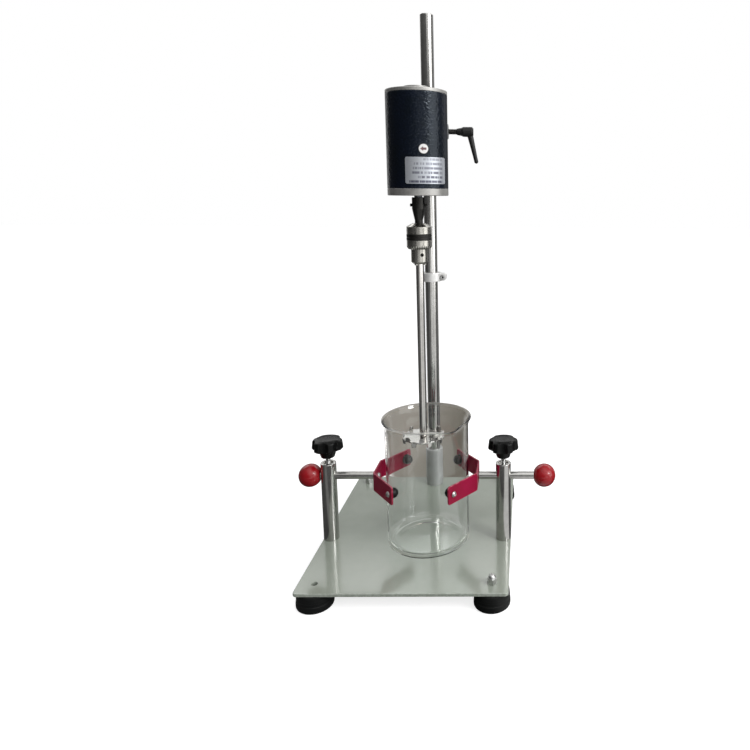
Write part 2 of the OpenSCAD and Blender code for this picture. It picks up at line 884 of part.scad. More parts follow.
module clamp_arm() {
    saddle_r = motor_r + saddle_t;
    color("gray") at_column() difference() {
        union() {
            translate([0, 0, boss_z]) cylinder(h = boss_h, r = boss_d / 2);
            translate([0, 0, lever_z]) rotate([0, 90, 0]) cylinder(h = lug_l, r = lug_d / 2);
            translate([-bar_w / 2, -head_reach, bar_z - bar_h / 2]) cube([bar_w, head_reach, bar_h]);
            intersection() {
                translate([0, -head_reach, saddle_z - saddle_h / 2]) cylinder(h = saddle_h, r = saddle_r);
                translate([-saddle_r, saddle_cut - head_reach, saddle_z - saddle_h])
                    cube([2 * saddle_r, saddle_r, 2 * saddle_h]);
            }
        }
        drill_through(boss_z, boss_h, bush_r + run_gap);
        translate([0, -head_reach, 0]) drill_through(saddle_z - saddle_h, 2 * saddle_h, motor_r + fix_gap);
        translate([0, 0, lever_z]) rotate([0, 90, 0])
            cylinder(h = lug_l + over, r = lever_stud_d / 2 + run_gap);
        at_saddle_screws() translate([0, 0, -over])
            cylinder(h = 2 * saddle_t, r = saddle_screw_d / 2 + fix_gap);
    }
}

// Places children on the shell's wall behind the motor, with +Z outwards
module at_saddle_screws() {
    for (a = [90 - saddle_screw_a, 90 + saddle_screw_a], z = [-1, 1])
        translate([0, -head_reach, saddle_z + z * saddle_screw_dz]) rotate([0, 90, a])
            translate([0, 0, motor_r]) children();
}

module saddle_screws() {
    color("dimgray") at_column() at_saddle_screws() translate([0, 0, saddle_t])
        pan_screw(saddle_screw_d, saddle_screw_l);
}

module lever_stud() {
    tip = bush_r + face_gap;
    color("silver") at_column() translate([tip, 0, lever_z]) rotate([0, 90, 0])
        cylinder(h = lever_hub_x + lever_hub_l * 0.6 - tip, r = lever_stud_d / 2);
}

// The lever's arm hangs straight down at rest
module clamp_lever() {
    hub_r = lever_hub_d / 2;
    arm_x = lever_hub_x + lever_hub_l - lever_root_w / 2 - lever_edge;
    tip_x = arm_x + lever_arm_l * tan(lever_lean);
    color("black") at_column() translate([0, 0, lever_z]) difference() {
        union() {
            translate([lever_hub_x, 0, 0]) rotate([0, 90, 0]) turned([[0, 0], [lever_neck_d / 2, 0],
                [lever_neck_d / 2, lever_neck_l], [hub_r, lever_neck_l + lever_edge],
                [hub_r, lever_hub_l - lever_edge], [hub_r - lever_edge, lever_hub_l], [0, lever_hub_l]]);
            hull() {
                translate([arm_x, 0, 0]) sphere(d = lever_root_w, $fn = 24);
                translate([tip_x, 0, -lever_arm_l + lever_tip_w / 2]) sphere(d = lever_tip_w, $fn = 24);
            }
        }
        translate([lever_hub_x - over, 0, 0]) rotate([0, 90, 0])
            cylinder(h = lever_hub_l * 0.6 + over + face_gap, r = lever_stud_d / 2 + run_gap);
    }
}

// Motor casing

module motor_shell() {
    color("#14161c") difference() {
        at_spindle() ring(shell_z, shell_h, motor_r, shell_in_r);
        at_column() at_saddle_screws() translate([0, 0, -2 * shell_t])
            cylinder(h = 3 * shell_t, r = saddle_screw_d / 2 + fix_gap);
    }
}

module top_cap() {
    cone_z = shell_top + top_cap_h;
    boss_low = cone_z + top_cone_h;
    boss_r = top_boss_d / 2;
    cap_top = boss_low + top_boss_h;
    spigot_r = shell_in_r - fix_gap;
    color("darkgray") at_spindle() difference() {
        turned([[0, cap_spigot_z], [spigot_r, cap_spigot_z], [spigot_r, shell_top], [motor_r, shell_top],
            [motor_r, cone_z], [boss_r, boss_low], [boss_r, cap_top], [0, cap_top]]);
        translate([0, 0, cap_spigot_z - over])
            cylinder(h = top_bearing_z + bearing_h - cap_spigot_z + over, r = top_bearing_r + fix_gap);
        at_tie_bolts() {
            drill_through(cap_spigot_z, shell_h, tie_d / 2 + fix_gap);
            translate([0, 0, shell_top]) cylinder(h = shell_h, r = tie_head_d / 2 + fix_gap);
        }
    }
}

module bottom_cap() {
    spigot_r = shell_in_r - fix_gap;
    edge = 1;
    color("darkgray") at_spindle() difference() {
        turned([[0, low_cap_z], [motor_r - edge, low_cap_z], [motor_r, low_cap_z + edge], [motor_r, shell_z],
            [spigot_r, shell_z], [spigot_r, shell_z + spigot_h], [0, shell_z + spigot_h]]);
        drill_through(low_cap_z, low_cap_h + spigot_h, shaft_r + shaft_room);
        translate([0, 0, low_bearing_z]) cylinder(h = low_cap_h + spigot_h, r = low_bearing_r + fix_gap);
        at_tie_bolts() drill_through(low_cap_z + bearing_lip, low_cap_h + spigot_h, tie_d / 2 + fix_gap);
    }
}

module at_tie_bolts() {
    for (y = [-1, 1]) translate([0, y * tie_r, 0]) children();
}

module tie_bolts() {
    low = low_cap_z + bearing_lip;
    color("gray") at_spindle() at_tie_bolts() {
        translate([0, 0, low]) cylinder(h = shell_top - low, r = tie_d / 2);
        translate([0, 0, shell_top]) cylinder(h = tie_head_h, r = tie_head_d / 2);
    }
}

// A thin label on the shell, turned from the shell's front towards the right
module nameplate() {
    color("lightgray") at_spindle() rotate([0, 0, nameplate_a - plate_arc / 2 - 90])
        rotate_extrude(angle = plate_arc) translate([motor_r + fix_gap, nameplate_z])
            square([label_t, nameplate_h]);
}

module rotation_mark() {
    color("white") at_spindle() intersection() {
        ring(mark_z - mark_d, 2 * mark_d, motor_r + fix_gap + label_t, motor_r + fix_gap);
        translate([0, 0, mark_z]) rotate([0, 90, mark_a - 90]) cylinder(h = motor_d, r = mark_d / 2);
    }
}

// Inside the motor

module magnets() {
    color("#3a3a3a") at_spindle() for (a = [0, 180])
        rotate([0, 0, a - magnet_a / 2]) rotate_extrude(angle = magnet_a)
            translate([shell_in_r - fix_gap - magnet_t, magnet_z]) square([magnet_t, magnet_h]);
}

module brush_plate() {
    holder_w = brush_w + 2 * holder_wall;
    holder_h = brush_plate_z - holder_mid_z + brush_h / 2 + holder_wall;
    inner = commutator_r + holder_gap;
    color("saddlebrown") at_spindle() difference() {
        union() {
            ring(brush_plate_z, brush_plate_t, shell_in_r - fix_gap, inner + holder_wall);
            for (a = [0, 180]) rotate([0, 0, a])
                translate([inner, -holder_w / 2, brush_plate_z - holder_h])
                    cube([holder_l, holder_w, holder_h + brush_plate_t / 2]);
        }
        for (a = [0, 180]) rotate([0, 0, a])
            translate([0, -brush_w / 2 - run_gap, holder_mid_z - brush_h / 2 - run_gap])
                cube([shell_in_r, brush_w + 2 * run_gap, brush_h + 2 * run_gap]);
        at_tie_bolts() drill_through(brush_plate_z, brush_plate_t, tie_d / 2 + fix_gap);
    }
}

module brushes() {
    color("#222222") at_spindle() for (a = [0, 180]) rotate([0, 0, a]) difference() {
        translate([commutator_r - over, -brush_w / 2, holder_mid_z - brush_h / 2])
            cube([brush_l + over, brush_w, brush_h]);
        drill_through(commutator_z - commutator_h, 3 * commutator_h, commutator_r + face_gap);
    }
}

module upper_bearing() {
    color("silver") at_spindle() ring(top_bearing_z, bearing_h, top_bearing_r, top_shaft_r + run_gap);
}

module lower_bearing() {
    color("silver") at_spindle() ring(low_bearing_z, bearing_h, low_bearing_r, shaft_r + run_gap);
}

// Rotating parts

module motor_shaft() {
    shaft_low = adapter_low + shaft_socket;
    step_z = brush_plate_z + brush_plate_t;
    color("silver") at_spindle() {
        translate([0, 0, shaft_low]) cylinder(h = step_z - shaft_low, r = shaft_r);
        translate([0, 0, step_z - over]) cylinder(h = top_bearing_z + bearing_h - step_z, r = top_shaft_r);
    }
}

module armature_core() {
    slot_w = 4;
    slot_l = 10;
    color("slategray") at_spindle() translate([0, 0, armature_z]) linear_extrude(armature_h) difference() {
        circle(r = armature_r);
        circle(r = shaft_r + fix_gap);
        for (i = [0:armature_slots - 1])
            rotate(i * 360 / armature_slots) translate([armature_r - slot_l, -slot_w / 2])
                square([slot_l + over, slot_w]);
    }
}

module armature_winding() {
    color("chocolate") at_spindle() for (z = [armature_z - winding_h, armature_z + armature_h])
        ring(z, winding_h, winding_r, shaft_r + fix_gap);
}

module commutator() {
    color("peru") at_spindle() ring(commutator_z, commutator_h, commutator_r, shaft_r + fix_gap);
}

module cooling_fan() {
    hub_r = shaft_r + fan_hub_wall;
    blade_t = 2;
    disc_h = 1.5;
    color("black") at_spindle() difference() {
        union() {
            translate([0, 0, fan_z]) cylinder(h = fan_h, r = hub_r);
            translate([0, 0, fan_z]) cylinder(h = disc_h, r = fan_r);
            for (i = [0:fan_blades - 1]) rotate([0, 0, i * 360 / fan_blades])
                translate([hub_r - 1, -blade_t / 2, fan_z]) cube([fan_r - hub_r - 1, blade_t, fan_h]);
        }
        drill_through(fan_z, fan_h, shaft_r + fix_gap);
    }
}

module chuck_adapter() {
    adapter_r = adapter_d / 2;
    neck_r = neck_d / 2;
    color("#2b2b2b") at_spindle() difference() {
        turned([[0, chuck_top - arbor_l], [neck_r, chuck_top - arbor_l], [neck_r, taper_low],
            [adapter_r, adapter_low], [adapter_r, adapter_top], [0, adapter_top]]);
        translate([0, 0, adapter_low + shaft_socket - face_gap])
            cylinder(h = adapter_l, r = shaft_r + fix_gap);
        for (i = [0:adapter_slots - 1]) rotate([0, 0, (i + 0.5) * 360 / adapter_slots])
            translate([adapter_r - adapter_slot_t, -adapter_slot_w / 2, adapter_top - adapter_slot_h])
                cube([adapter_r, adapter_slot_w, adapter_slot_h + over]);
        at_set_screws() cylinder(h = adapter_d, r = set_screw_d / 2 + fix_gap);
    }
}

module at_set_screws() {
    for (a = [0, 180]) rotate([0, 0, a]) translate([shaft_r - over, 0, set_screw_z])
        rotate([0, 90, 0]) children();
}

module set_screws() {
    screw_l = adapter_d / 2 + set_screw_out - shaft_r - fix_gap;
    color("silver") at_spindle() at_set_screws() translate([0, 0, over + fix_gap])
        cylinder(h = screw_l, r = set_screw_d / 2);
}

module chuck_body() {
    color("silver") at_spindle() difference() {
        turned([[0, nose_z], [nose_r - nose_edge, nose_z], [nose_r, nose_z + nose_edge], [nose_r, shoulder_z],
            [chuck_r, shoulder_z], [chuck_r, chuck_top - shoulder_cone_h],
            [neck_d / 2 + neck_rim, chuck_top], [0, chuck_top]]);
        drill(nose_z, shaft_grip + face_gap, shaft_d / 2 + fix_gap);
        translate([0, 0, chuck_top - arbor_l - face_gap])
            cylinder(h = arbor_l + over, r = neck_d / 2 + fix_gap);
        for (i = [0:2]) at_jaw(i) translate([0, 0, -jaw_d])
            cylinder(h = jaw_bore_l + jaw_d, r = jaw_r + run_gap);
        for (i = [0:2]) rotate([0, 0, (i + 0.5) * 120 + jaw_turn])
            translate([shaft_d / 2 + key_hole_root, 0, key_hole_z]) rotate([0, 90, 0])
                cylinder(h = nose_d, r = key_hole_d / 2);
    }
}

// Places children on a jaw's own axis, with +Z up the jaw
module at_jaw(i) {
    rotate([0, 0, i * 120 + jaw_turn]) translate([jaw_axis_r, 0, nose_z]) rotate([0, jaw_a, 0]) children();
}

module chuck_jaw(i) {
    color("gray") at_spindle() difference() {
        at_jaw(i) translate([0, 0, -jaw_tip]) cylinder(h = jaw_l + jaw_tip, r = jaw_r);
        drill_through(nose_z - jaw_l, 3 * jaw_l, shaft_d / 2 + grip_gap);
    }
}

module chuck_jaw_1() {
    chuck_jaw(0);
}

module chuck_jaw_2() {
    chuck_jaw(1);
}

module chuck_jaw_3() {
    chuck_jaw(2);
}

module chuck_sleeve() {
    groove_z = sleeve_top - ring_h;
    color("silver") at_spindle() difference() {
        translate([0, 0, sleeve_z]) cylinder(h = sleeve_h, r = chuck_r);
        drill_through(sleeve_z, sleeve_h, nose_r + run_gap);
        drill(sleeve_z, jaw_room_h, jaw_room);
        ring(groove_z, ring_h + over, chuck_d, chuck_r - ring_t);
    }
}

module chuck_ring() {
    color("black") at_spindle()
        ring(sleeve_top - ring_h, ring_h, chuck_r + ring_proud, chuck_r - ring_t + fix_gap);
}

module stir_shaft() {
    thread_r = disc_thread_d / 2;
    disc_top = disc_z + disc_t;
    color("silver") at_spindle() {
        translate([0, 0, disc_top]) cylinder(h = shaft_top - disc_top, r = shaft_d / 2);
        translate([0, 0, thread_low]) cylinder(h = disc_top - thread_low + over, r = thread_r);
    }
}

// Teeth stand up and down in turn along the disc's edge, each one slanted
module disperser_disc() {
    color("silver") at_spindle() difference() {
        union() {
            translate([0, 0, disc_z]) cylinder(h = disc_t, r = disc_r);
            for (i = [0:teeth - 1]) rotate([0, 0, i * 360 / teeth])
                translate([disc_r - disc_t, 0, disc_z + (i % 2 == 0 ? 0 : disc_t - tooth_h)])
                    rotate([0, 0, tooth_turn]) translate([-disc_t / 2, -tooth_w / 2, 0])
                        cube([disc_t, tooth_w, tooth_h]);
        }
        drill_through(disc_z, disc_t, disc_thread_d / 2 + fix_gap);
    }
}

module disc_nut() {
    nut_top = disc_z;
    hex_low = disc_z - disc_nut_h;
    color("silver") at_spindle() difference() {
        union() {
            translate([0, 0, nut_top - washer_h]) cylinder(h = washer_h, r = disc_nut_af * 0.75);
            hexagon(hex_low + nut_dome, disc_nut_h - nut_dome - washer_h + fix_gap, disc_nut_af);
            translate([0, 0, hex_low]) cylinder(h = nut_dome, r1 = disc_nut_af * 0.3, r2 = disc_nut_af / 2);
        }
        translate([0, 0, thread_low - face_gap])
            cylinder(h = disc_nut_h + over, r = disc_thread_d / 2 + fix_gap);
    }
}

base_plate();
foot_front_left();
foot_front_right();
foot_rear_left();
foot_rear_right();
cap_nuts();
plate_screws();
post_left();
post_right();
rod_left();
rod_right();
ball_knob_left();
ball_knob_right();
bracket_left();
bracket_right();
bracket_screws_left();
bracket_screws_right();
bumpers_left();
bumpers_right();
lock_screw_left();
lock_screw_right();
star_knob_left();
star_knob_right();
beaker();
column();
column_socket();
stop_collar();
stop_collar_screw();
column_bush();
clamp_arm();
saddle_screws();
lever_stud();
clamp_lever();
motor_shell();
top_cap();
bottom_cap();
tie_bolts();
nameplate();
rotation_mark();
magnets();
brush_plate();
brushes();
upper_bearing();
lower_bearing();
motor_shaft();
armature_core();
armature_winding();
commutator();
cooling_fan();
chuck_adapter();
set_screws();
chuck_body();
chuck_sleeve();
chuck_ring();
chuck_jaw_1();
chuck_jaw_2();
chuck_jaw_3();
stir_shaft();
disperser_disc();
disc_nut();
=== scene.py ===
import math

import bmesh
import bpy
import numpy as np
from mathutils import Matrix


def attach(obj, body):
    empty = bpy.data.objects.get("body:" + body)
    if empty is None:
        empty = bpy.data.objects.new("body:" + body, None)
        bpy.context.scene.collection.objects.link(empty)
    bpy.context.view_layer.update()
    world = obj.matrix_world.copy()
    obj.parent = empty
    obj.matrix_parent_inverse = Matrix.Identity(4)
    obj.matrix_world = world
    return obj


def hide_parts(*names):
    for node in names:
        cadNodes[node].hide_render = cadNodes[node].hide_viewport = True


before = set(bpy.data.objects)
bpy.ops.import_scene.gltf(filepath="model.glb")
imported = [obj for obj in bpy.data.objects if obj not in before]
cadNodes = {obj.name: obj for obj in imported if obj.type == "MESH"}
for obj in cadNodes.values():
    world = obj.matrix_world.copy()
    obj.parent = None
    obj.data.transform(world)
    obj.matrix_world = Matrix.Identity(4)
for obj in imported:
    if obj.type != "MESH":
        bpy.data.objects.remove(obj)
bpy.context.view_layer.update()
mm = 0.001
fullTurn = 2 * np.pi
quarterTurn = np.pi / 2


# Shapes: every shell is a grid of points in millimetres, with its UVs and a mark on rounded edges

# Vectors divided by their lengths
def unit(v):
    return v / np.maximum(np.linalg.norm(v, axis=-1, keepdims=True), 1e-12)


# Arrays of like shape, or that stretch to it, side by side along a new last axis
def sideBySide(*arrays):
    return np.stack(np.broadcast_arrays(*arrays), -1)


# A shell from its points, their UVs and a mark that whole rows or columns may share
def shellOf(points, uv, mark):
    return dict(points=points, uv=uv, mark=np.broadcast_to(mark, points.shape[:2]))


# Each corner (x, y, radius) gives way to an arc that touches both of its sides; the mark is 1 on arcs only
def filleted(corners, steps=6, closed=False):
    table = np.array([(tuple(c) + (0.0,))[:3] for c in corners], float)
    point, radius = table[:, :2], table[:, 2].copy()
    if not closed:
        radius[[0, -1]] = 0
    back, ahead = np.roll(point, 1, 0) - point, np.roll(point, -1, 0) - point
    room = np.minimum(np.linalg.norm(back, axis=1), np.linalg.norm(ahead, axis=1))
    back, ahead = unit(back), unit(ahead)
    half = np.arccos(np.clip((back * ahead).sum(1), -1, 1)) / 2
    # A cut and the straight stretch beside it stay short of half of the shorter side
    cut = np.minimum(radius / np.maximum(np.tan(half), 1e-9), 0.46 * room)
    reach = cut + np.minimum(0.5 * cut + 0.1, 0.48 * room - cut)
    radius = cut * np.tan(half)
    bent = (radius > 1e-6) & (half < 1.56)
    centre = point + unit(back + ahead) * (radius / np.maximum(np.sin(half), 1e-9))[:, None]
    start = unit(point + back * cut[:, None] - centre)
    end = unit(point + ahead * cut[:, None] - centre)
    sweep = np.arccos(np.clip((start * end).sum(1), -1, 1))[:, None]
    share = np.linspace(0, 1, steps)
    sine = np.maximum(np.sin(sweep), 1e-9)
    arc = (np.sin((1 - share) * sweep) / sine)[..., None] * start[:, None]
    arc = arc + (np.sin(share * sweep) / sine)[..., None] * end[:, None]
    arc = centre[:, None] + radius[:, None, None] * arc
    before, after = (point + d * reach[:, None] for d in (back, ahead))
    arc = np.concatenate([before[:, None], arc, after[:, None]], 1)
    line = np.where(bent[:, None, None], arc, point[:, None]).reshape(-1, 2)
    mark = np.where(bent[:, None], np.r_[0, np.ones(steps), 0], 0).ravel()
    keep = np.r_[True, np.linalg.norm(np.diff(line, axis=0), axis=1) > 1e-6]
    return line[keep], mark[keep]


# Repeats a line's first point at its end
def closedUp(line, mark):
    return np.vstack([line, line[:1]]), np.r_[mark, mark[:1]]


# A box's outline with rounded corners, from its left low corner round by the right
def roundedBox(left, right, low, high, corner, steps):
    places = [(left, low), (right, low), (right, high), (left, high)]
    return filleted([(*place, corner) for place in places], steps, True)


# Evenly spread points of a circle of radius 1
def circle(count):
    angle = np.linspace(0, fullTurn, count + 1)[:-1]
    return sideBySide(np.cos(angle), np.sin(angle))


# A quarter of a circle as (radius, height) points, from its foot up to the axis
def domeLine(radius, low, count):
    return [(radius * np.cos(b), low + radius * np.sin(b)) for b in np.linspace(0, quarterTurn, count)]


# The length of a line up to each of its points
def lengthAlong(line):
    return np.r_[0, np.cumsum(np.linalg.norm(np.diff(line, axis=0), axis=1))]


# The places on a line at some lengths along it
def pointsAt(spots, at, line):
    return sideBySide(*(np.interp(spots, at, column) for column in line.T))


# Adds points so that no stretch of the line is longer than step
def finer(line, mark, step):
    at = lengthAlong(line)
    extra = np.arange(step, at[-1], step)
    extra = extra[np.abs(extra[:, None] - at).min(1) > step / 4]
    spots = np.sort(np.r_[at, extra])
    return pointsAt(spots, at, line), np.interp(spots, at, mark)


# A line of (radius, height) corners carried round the z axis; shape(angle, radius, height) varies it
def turned(corners, sides=96, ring=False, step=0, shape=None, steps=6):
    line, mark = filleted(corners, steps, ring)
    if ring:
        line, mark = closedUp(line, mark)
    if step:
        line, mark = finer(line, mark, step)
    angle = np.linspace(0, fullTurn, sides + 1)[:, None]
    radius, height = (np.broadcast_to(c, (sides + 1, len(line))) for c in line.T)
    if shape:
        radius, height = shape(angle, radius, height)
    points = sideBySide(radius * np.cos(angle), radius * np.sin(angle), height)
    return shellOf(points, sideBySide(angle * line[:, 0].max(), lengthAlong(line)), mark)


# A closed cylinder round the z axis with rounded lower and upper rims
def cylinder(radius, low, high, sides, rims=(0, 0)):
    return turned([(0, low), (radius, low, rims[0]), (radius, high, rims[1]), (0, high)], sides)


# The corners of a ring's section, with their roundings
def ringCorners(inner, outer, low, high, innerRim, outerRim):
    return [(inner, low, innerRim), (outer, low, outerRim), (outer, high, outerRim), (inner, high, innerRim)]


# Closes a grid's first and last rows to their middles
def capped(points):
    first, last = (np.broadcast_to(points[i].mean(0), (1,) + points.shape[1:]) for i in (0, -1))
    return np.concatenate([first, points, last])


# A ring's section carried from one angle to another, which may differ with the radius
def ringSector(corners, start, end, sides=96):
    line, mark = closedUp(*filleted(corners, 5, True))
    radius, height = line.T
    share = np.linspace(0, 1, sides + 1)[:, None]
    angle = start(radius) + share * (end(radius) - start(radius))
    points = capped(sideBySide(radius * np.cos(angle), radius * np.sin(angle), height))
    across = np.r_[0, share[:, 0], 1][:, None] * 100
    return shellOf(points, sideBySide(across, lengthAlong(line)), mark)


# A closed section of (side, up) points, sized anew at each point of a path and closed at both ends
def swept(path, section, sectionMark, sizes, upward=(0, 0, 1)):
    section, sectionMark = closedUp(section, sectionMark)
    ahead = unit(np.gradient(path, axis=0))
    side = unit(np.cross(ahead, upward))
    up = np.cross(side, ahead)
    local = section[None] * sizes[:, None]
    rings = path[:, None] + local[..., :1] * side[:, None] + local[..., 1:] * up[:, None]
    first, last = (np.broadcast_to(path[i], (1, len(section), 3)) for i in (0, -1))
    points = np.concatenate([first, rings, last])
    along = lengthAlong(path)
    along = np.r_[along[0], along, along[-1]][:, None]
    return shellOf(points, sideBySide(lengthAlong(section), along), sectionMark)


# Flat rings, each raised to its own height
def stacked(rings, height):
    return sideBySide(*np.moveaxis(rings, -1, 0), height[:, None])


# A closed outline raised from low to high with rounded rims and closed to its middle at both ends
def prism(outline, low, high, rim, steps=4):
    outline, flatFrom = np.array(outline, float), 1.6 * rim
    ahead = np.roll(outline, -1, 0) - np.roll(outline, 1, 0)
    outward = unit(sideBySide(ahead[:, 1], -ahead[:, 0]))
    bend = np.linspace(0, quarterTurn, steps)
    inset = np.r_[flatFrom, rim * (1 - np.sin(bend)), rim * (1 - np.cos(bend)), flatFrom]
    height = np.r_[low, low + rim * (1 - np.cos(bend)), high - rim + rim * np.sin(bend), high]
    flat = outline - inset[:, None, None] * outward
    walls = stacked(np.concatenate([flat, flat[:, :1]], 1), height)
    middle = np.broadcast_to(outline.mean(0), (2, walls.shape[1], 2))
    caps = stacked(middle, np.array([low, high]))
    points = np.concatenate([caps[:1], walls, caps[1:]])
    mark = np.r_[0, 0, np.ones(2 * steps), 0, 0][:, None]
    return shellOf(points, points[..., :2].copy(), mark)


# A shell whose z axis is laid along another axis, from a point
def placed(shell, origin, axis=(0, 0, 1), spin=0.0):
    axis = unit(np.array(axis, float))
    side = unit(np.cross((0, 1, 0) if abs(axis[1]) < 0.9 else (0, 0, 1), axis))
    up = np.cross(axis, side)
    c, s = np.cos(spin), np.sin(spin)
    basis = np.array([side * c + up * s, up * c - side * s, axis])
    return dict(shell, points=shell["points"] @ basis + np.array(origin, float))


# A shell's mirror image in the plane x = 0
def mirrored(shell):
    return dict(shell, points=shell["points"] * (-1, 1, 1))


# The distance from a hexagon's middle to its outline at an angle
def hexRadius(angle, acrossFlats):
    return acrossFlats / 2 / np.cos((angle + np.pi / 6) % (np.pi / 3) - np.pi / 6)


# Cuts a turned shape to a hexagon
def hexed(acrossFlats):
    return lambda angle, r, z: (np.minimum(r, hexRadius(angle, acrossFlats)), z)


# Widens a screw's round socket to a hexagon
def hexSocket(angle, r, z, width, within):
    widened = r * np.minimum(hexRadius(angle, width) / (width / 2), 1.12)
    return np.where((r < within) & (z > 0), widened, r)


# The thread's depth follows a rounded wave that climbs one pitch a turn
def threadedRod(radius, low, high, pitch=1.0, depth=0.45, chamfer=0.6):
    def thread(angle, r, z):
        wave = 0.5 + 0.5 * np.cos(fullTurn * (z / pitch - angle / fullTurn))
        inside = np.clip(np.minimum(z - low, high - z) / pitch, 0, 1)
        return r - np.where(r > radius * 0.7, depth * (1 - wave ** 0.7) * inside, 0), z
    corners = [(0, low), (radius - chamfer, low), (radius, low + chamfer),
               (radius, high - chamfer), (radius - chamfer, high), (0, high)]
    return turned(corners, 28, step=pitch / 6, shape=thread)


# A button-headed screw with its head up, as (head radius, head height, socket, shaft radius, length)
def buttonScrew(radius, height, socket, shaft, length):
    corners = [(0, height * 0.3), (socket / 2, height * 0.3), (socket / 2, height * 0.93, 0.1),
               (radius * 0.55, height, 0.2), (radius, height * 0.35, 0.5), (radius, 0, 0.1),
               (shaft, 0), (shaft, -length), (0, -length)]
    return turned(corners, 60, shape=lambda angle, r, z: (hexSocket(angle, r, z, socket, radius * 0.5), z))


# A socket screw with a knurled head, in the same words
def capScrew(radius, height, socket, shaft, length):
    def grip(angle, r, z):
        r = hexSocket(angle, r, z, socket, radius * 0.6)
        knurled = (r > radius * 0.98) & (z > 0.11) & (z < height * 0.85)
        return np.where(knurled, r - 0.09 * (1 + np.cos(angle * 36)), r), z
    corners = [(0, height * 0.4), (socket / 2, height * 0.4), (socket / 2, height, 0.15),
               (radius, height, 0.4), (radius, 0, 0.1), (shaft, 0), (shaft, -length), (0, -length)]
    return turned(corners, 144, step=0.5, shape=grip)


# Smooth faces, with edges sharper than an angle in degrees left hard
def smoothed(mesh, sharp):
    mesh.polygons.foreach_set("use_smooth", np.ones(len(mesh.polygons), bool))
    mesh.set_sharp_from_angle(angle=math.radians(sharp))


# Neighbouring points of every grid make a quad; points that meet are joined and faces turned outwards
def meshOf(name, shells, sharp):
    points = np.concatenate([s["points"].reshape(-1, 3) for s in shells]) * mm
    uv = np.concatenate([s["uv"].reshape(-1, 2) for s in shells]) * mm
    mark = np.concatenate([np.ravel(s["mark"]) for s in shells])
    quads, first = [], 0
    for s in shells:
        rows, columns = s["points"].shape[:2]
        spot = first + np.arange(rows * columns).reshape(rows, columns)
        corners = [spot[:-1, :-1], spot[1:, :-1], spot[1:, 1:], spot[:-1, 1:]]
        quads.append(np.stack(corners, -1).reshape(-1, 4))
        first += rows * columns
    mesh = bpy.data.meshes.new(name)
    mesh.from_pydata(points.tolist(), [], np.concatenate(quads).tolist())
    corner = np.empty(len(mesh.loops), np.int32)
    mesh.loops.foreach_get("vertex_index", corner)
    mesh.uv_layers.new(name="uv").data.foreach_set("uv", uv[corner].astype(np.float32).ravel())
    mesh.attributes.new("edge", "FLOAT", "POINT").data.foreach_set("value", mark.astype(np.float32))
    work = bmesh.new()
    work.from_mesh(mesh)
    bmesh.ops.remove_doubles(work, verts=work.verts, dist=0.002 * mm)
    bmesh.ops.recalc_face_normals(work, faces=work.faces)
    work.to_mesh(mesh)
    work.free()
    smoothed(mesh, sharp)
    return mesh


# One object at the origin from its shells, less the shells in holes, riding on its body
def makePiece(name, shells, look, body, nodes=(), slot=None, sharp=40, holes=()):
    piece = bpy.data.objects.new(name, meshOf(name, shells, sharp))
    bpy.context.scene.collection.objects.link(piece)
    if holes:
        cutter = bpy.data.objects.new("cutter", meshOf("cutter", holes, sharp))
        bpy.context.scene.collection.objects.link(cutter)
        cut = piece.modifiers.new("holes", "BOOLEAN")
        cut.operation, cut.solver, cut.object = "DIFFERENCE", "EXACT", cutter
        made = bpy.data.meshes.new_from_object(piece.evaluated_get(bpy.context.evaluated_depsgraph_get()))
        piece.modifiers.clear()
        piece.data = made
        smoothed(made, sharp)
        bpy.data.objects.remove(cutter)
    piece.data.materials.clear()
    piece.data.materials.append(finishes[look])
    even = piece.modifiers.new("evenShading", "WEIGHTED_NORMAL")
    even.keep_sharp = True
    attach(piece, body)
    if nodes:
        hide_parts(*nodes)
    return piece


# Shader node groups and finishes

# The linear colour of an ordinary 0 to 255 screen colour
def tone(red, green, blue):
    c = np.array([red, green, blue]) / 255
    return (*np.where(c <= 0.04045, c / 12.92, ((c + 0.055) / 1.055) ** 2.4).tolist(), 1.0)


def addNode(tree, kind, inputs=None, **settings):
    node = tree.nodes.new(kind)
    for key, value in settings.items():
        setattr(node, key, value)
    for key, value in (inputs or {}).items():
        if isinstance(value, bpy.types.NodeSocket):
            tree.links.new(value, node.inputs[key])
        else:
            node.inputs[key].default_value = value
    return node


# The node tree that the first socket among some values belongs to
def treeOf(*values):
    return next(v.id_data for v in values if isinstance(v, bpy.types.NodeSocket))


def join(value, target):
    treeOf(value).links.new(value, target)


def mathNode(operation, *values):
    return addNode(treeOf(*values), "ShaderNodeMath", dict(enumerate(values)), operation=operation).outputs[0]


def times(first, *others):
    for other in others:
        first = mathNode("MULTIPLY", first, other)
    return first


def plus(a, b):
    return mathNode("ADD", a, b)


def minus(a, b):
    return mathNode("SUBTRACT", a, b)


def apart(a, b):
    return mathNode("ABSOLUTE", minus(a, b))


def below(a, b):
    return mathNode("LESS_THAN", a, b)


def above(a, b):
    return mathNode("GREATER_THAN", a, b)


def mixColour(share, a, b):
    return addNode(treeOf(share), "ShaderNodeMix", {0: share, 6: a, 7: b}, data_type="RGBA").outputs[2]


def ranged(value, low, high, toLow=0.0, toHigh=1.0):
    inputs = {"Value": value, "From Min": low, "From Max": high, "To Min": toLow, "To Max": toHigh}
    return addNode(treeOf(value), "ShaderNodeMapRange", inputs).outputs[0]


def noiseOf(vector, scale, detail=4.0, roughness=0.55):
    inputs = {"Vector": vector, "Scale": scale, "Detail": detail, "Roughness": roughness}
    return addNode(treeOf(vector), "ShaderNodeTexNoise", inputs).outputs["Fac"]


def axesOf(vector):
    return addNode(treeOf(vector), "ShaderNodeSeparateXYZ", {0: vector}).outputs


def coordinates(tree):
    return addNode(tree, "ShaderNodeTexCoord").outputs


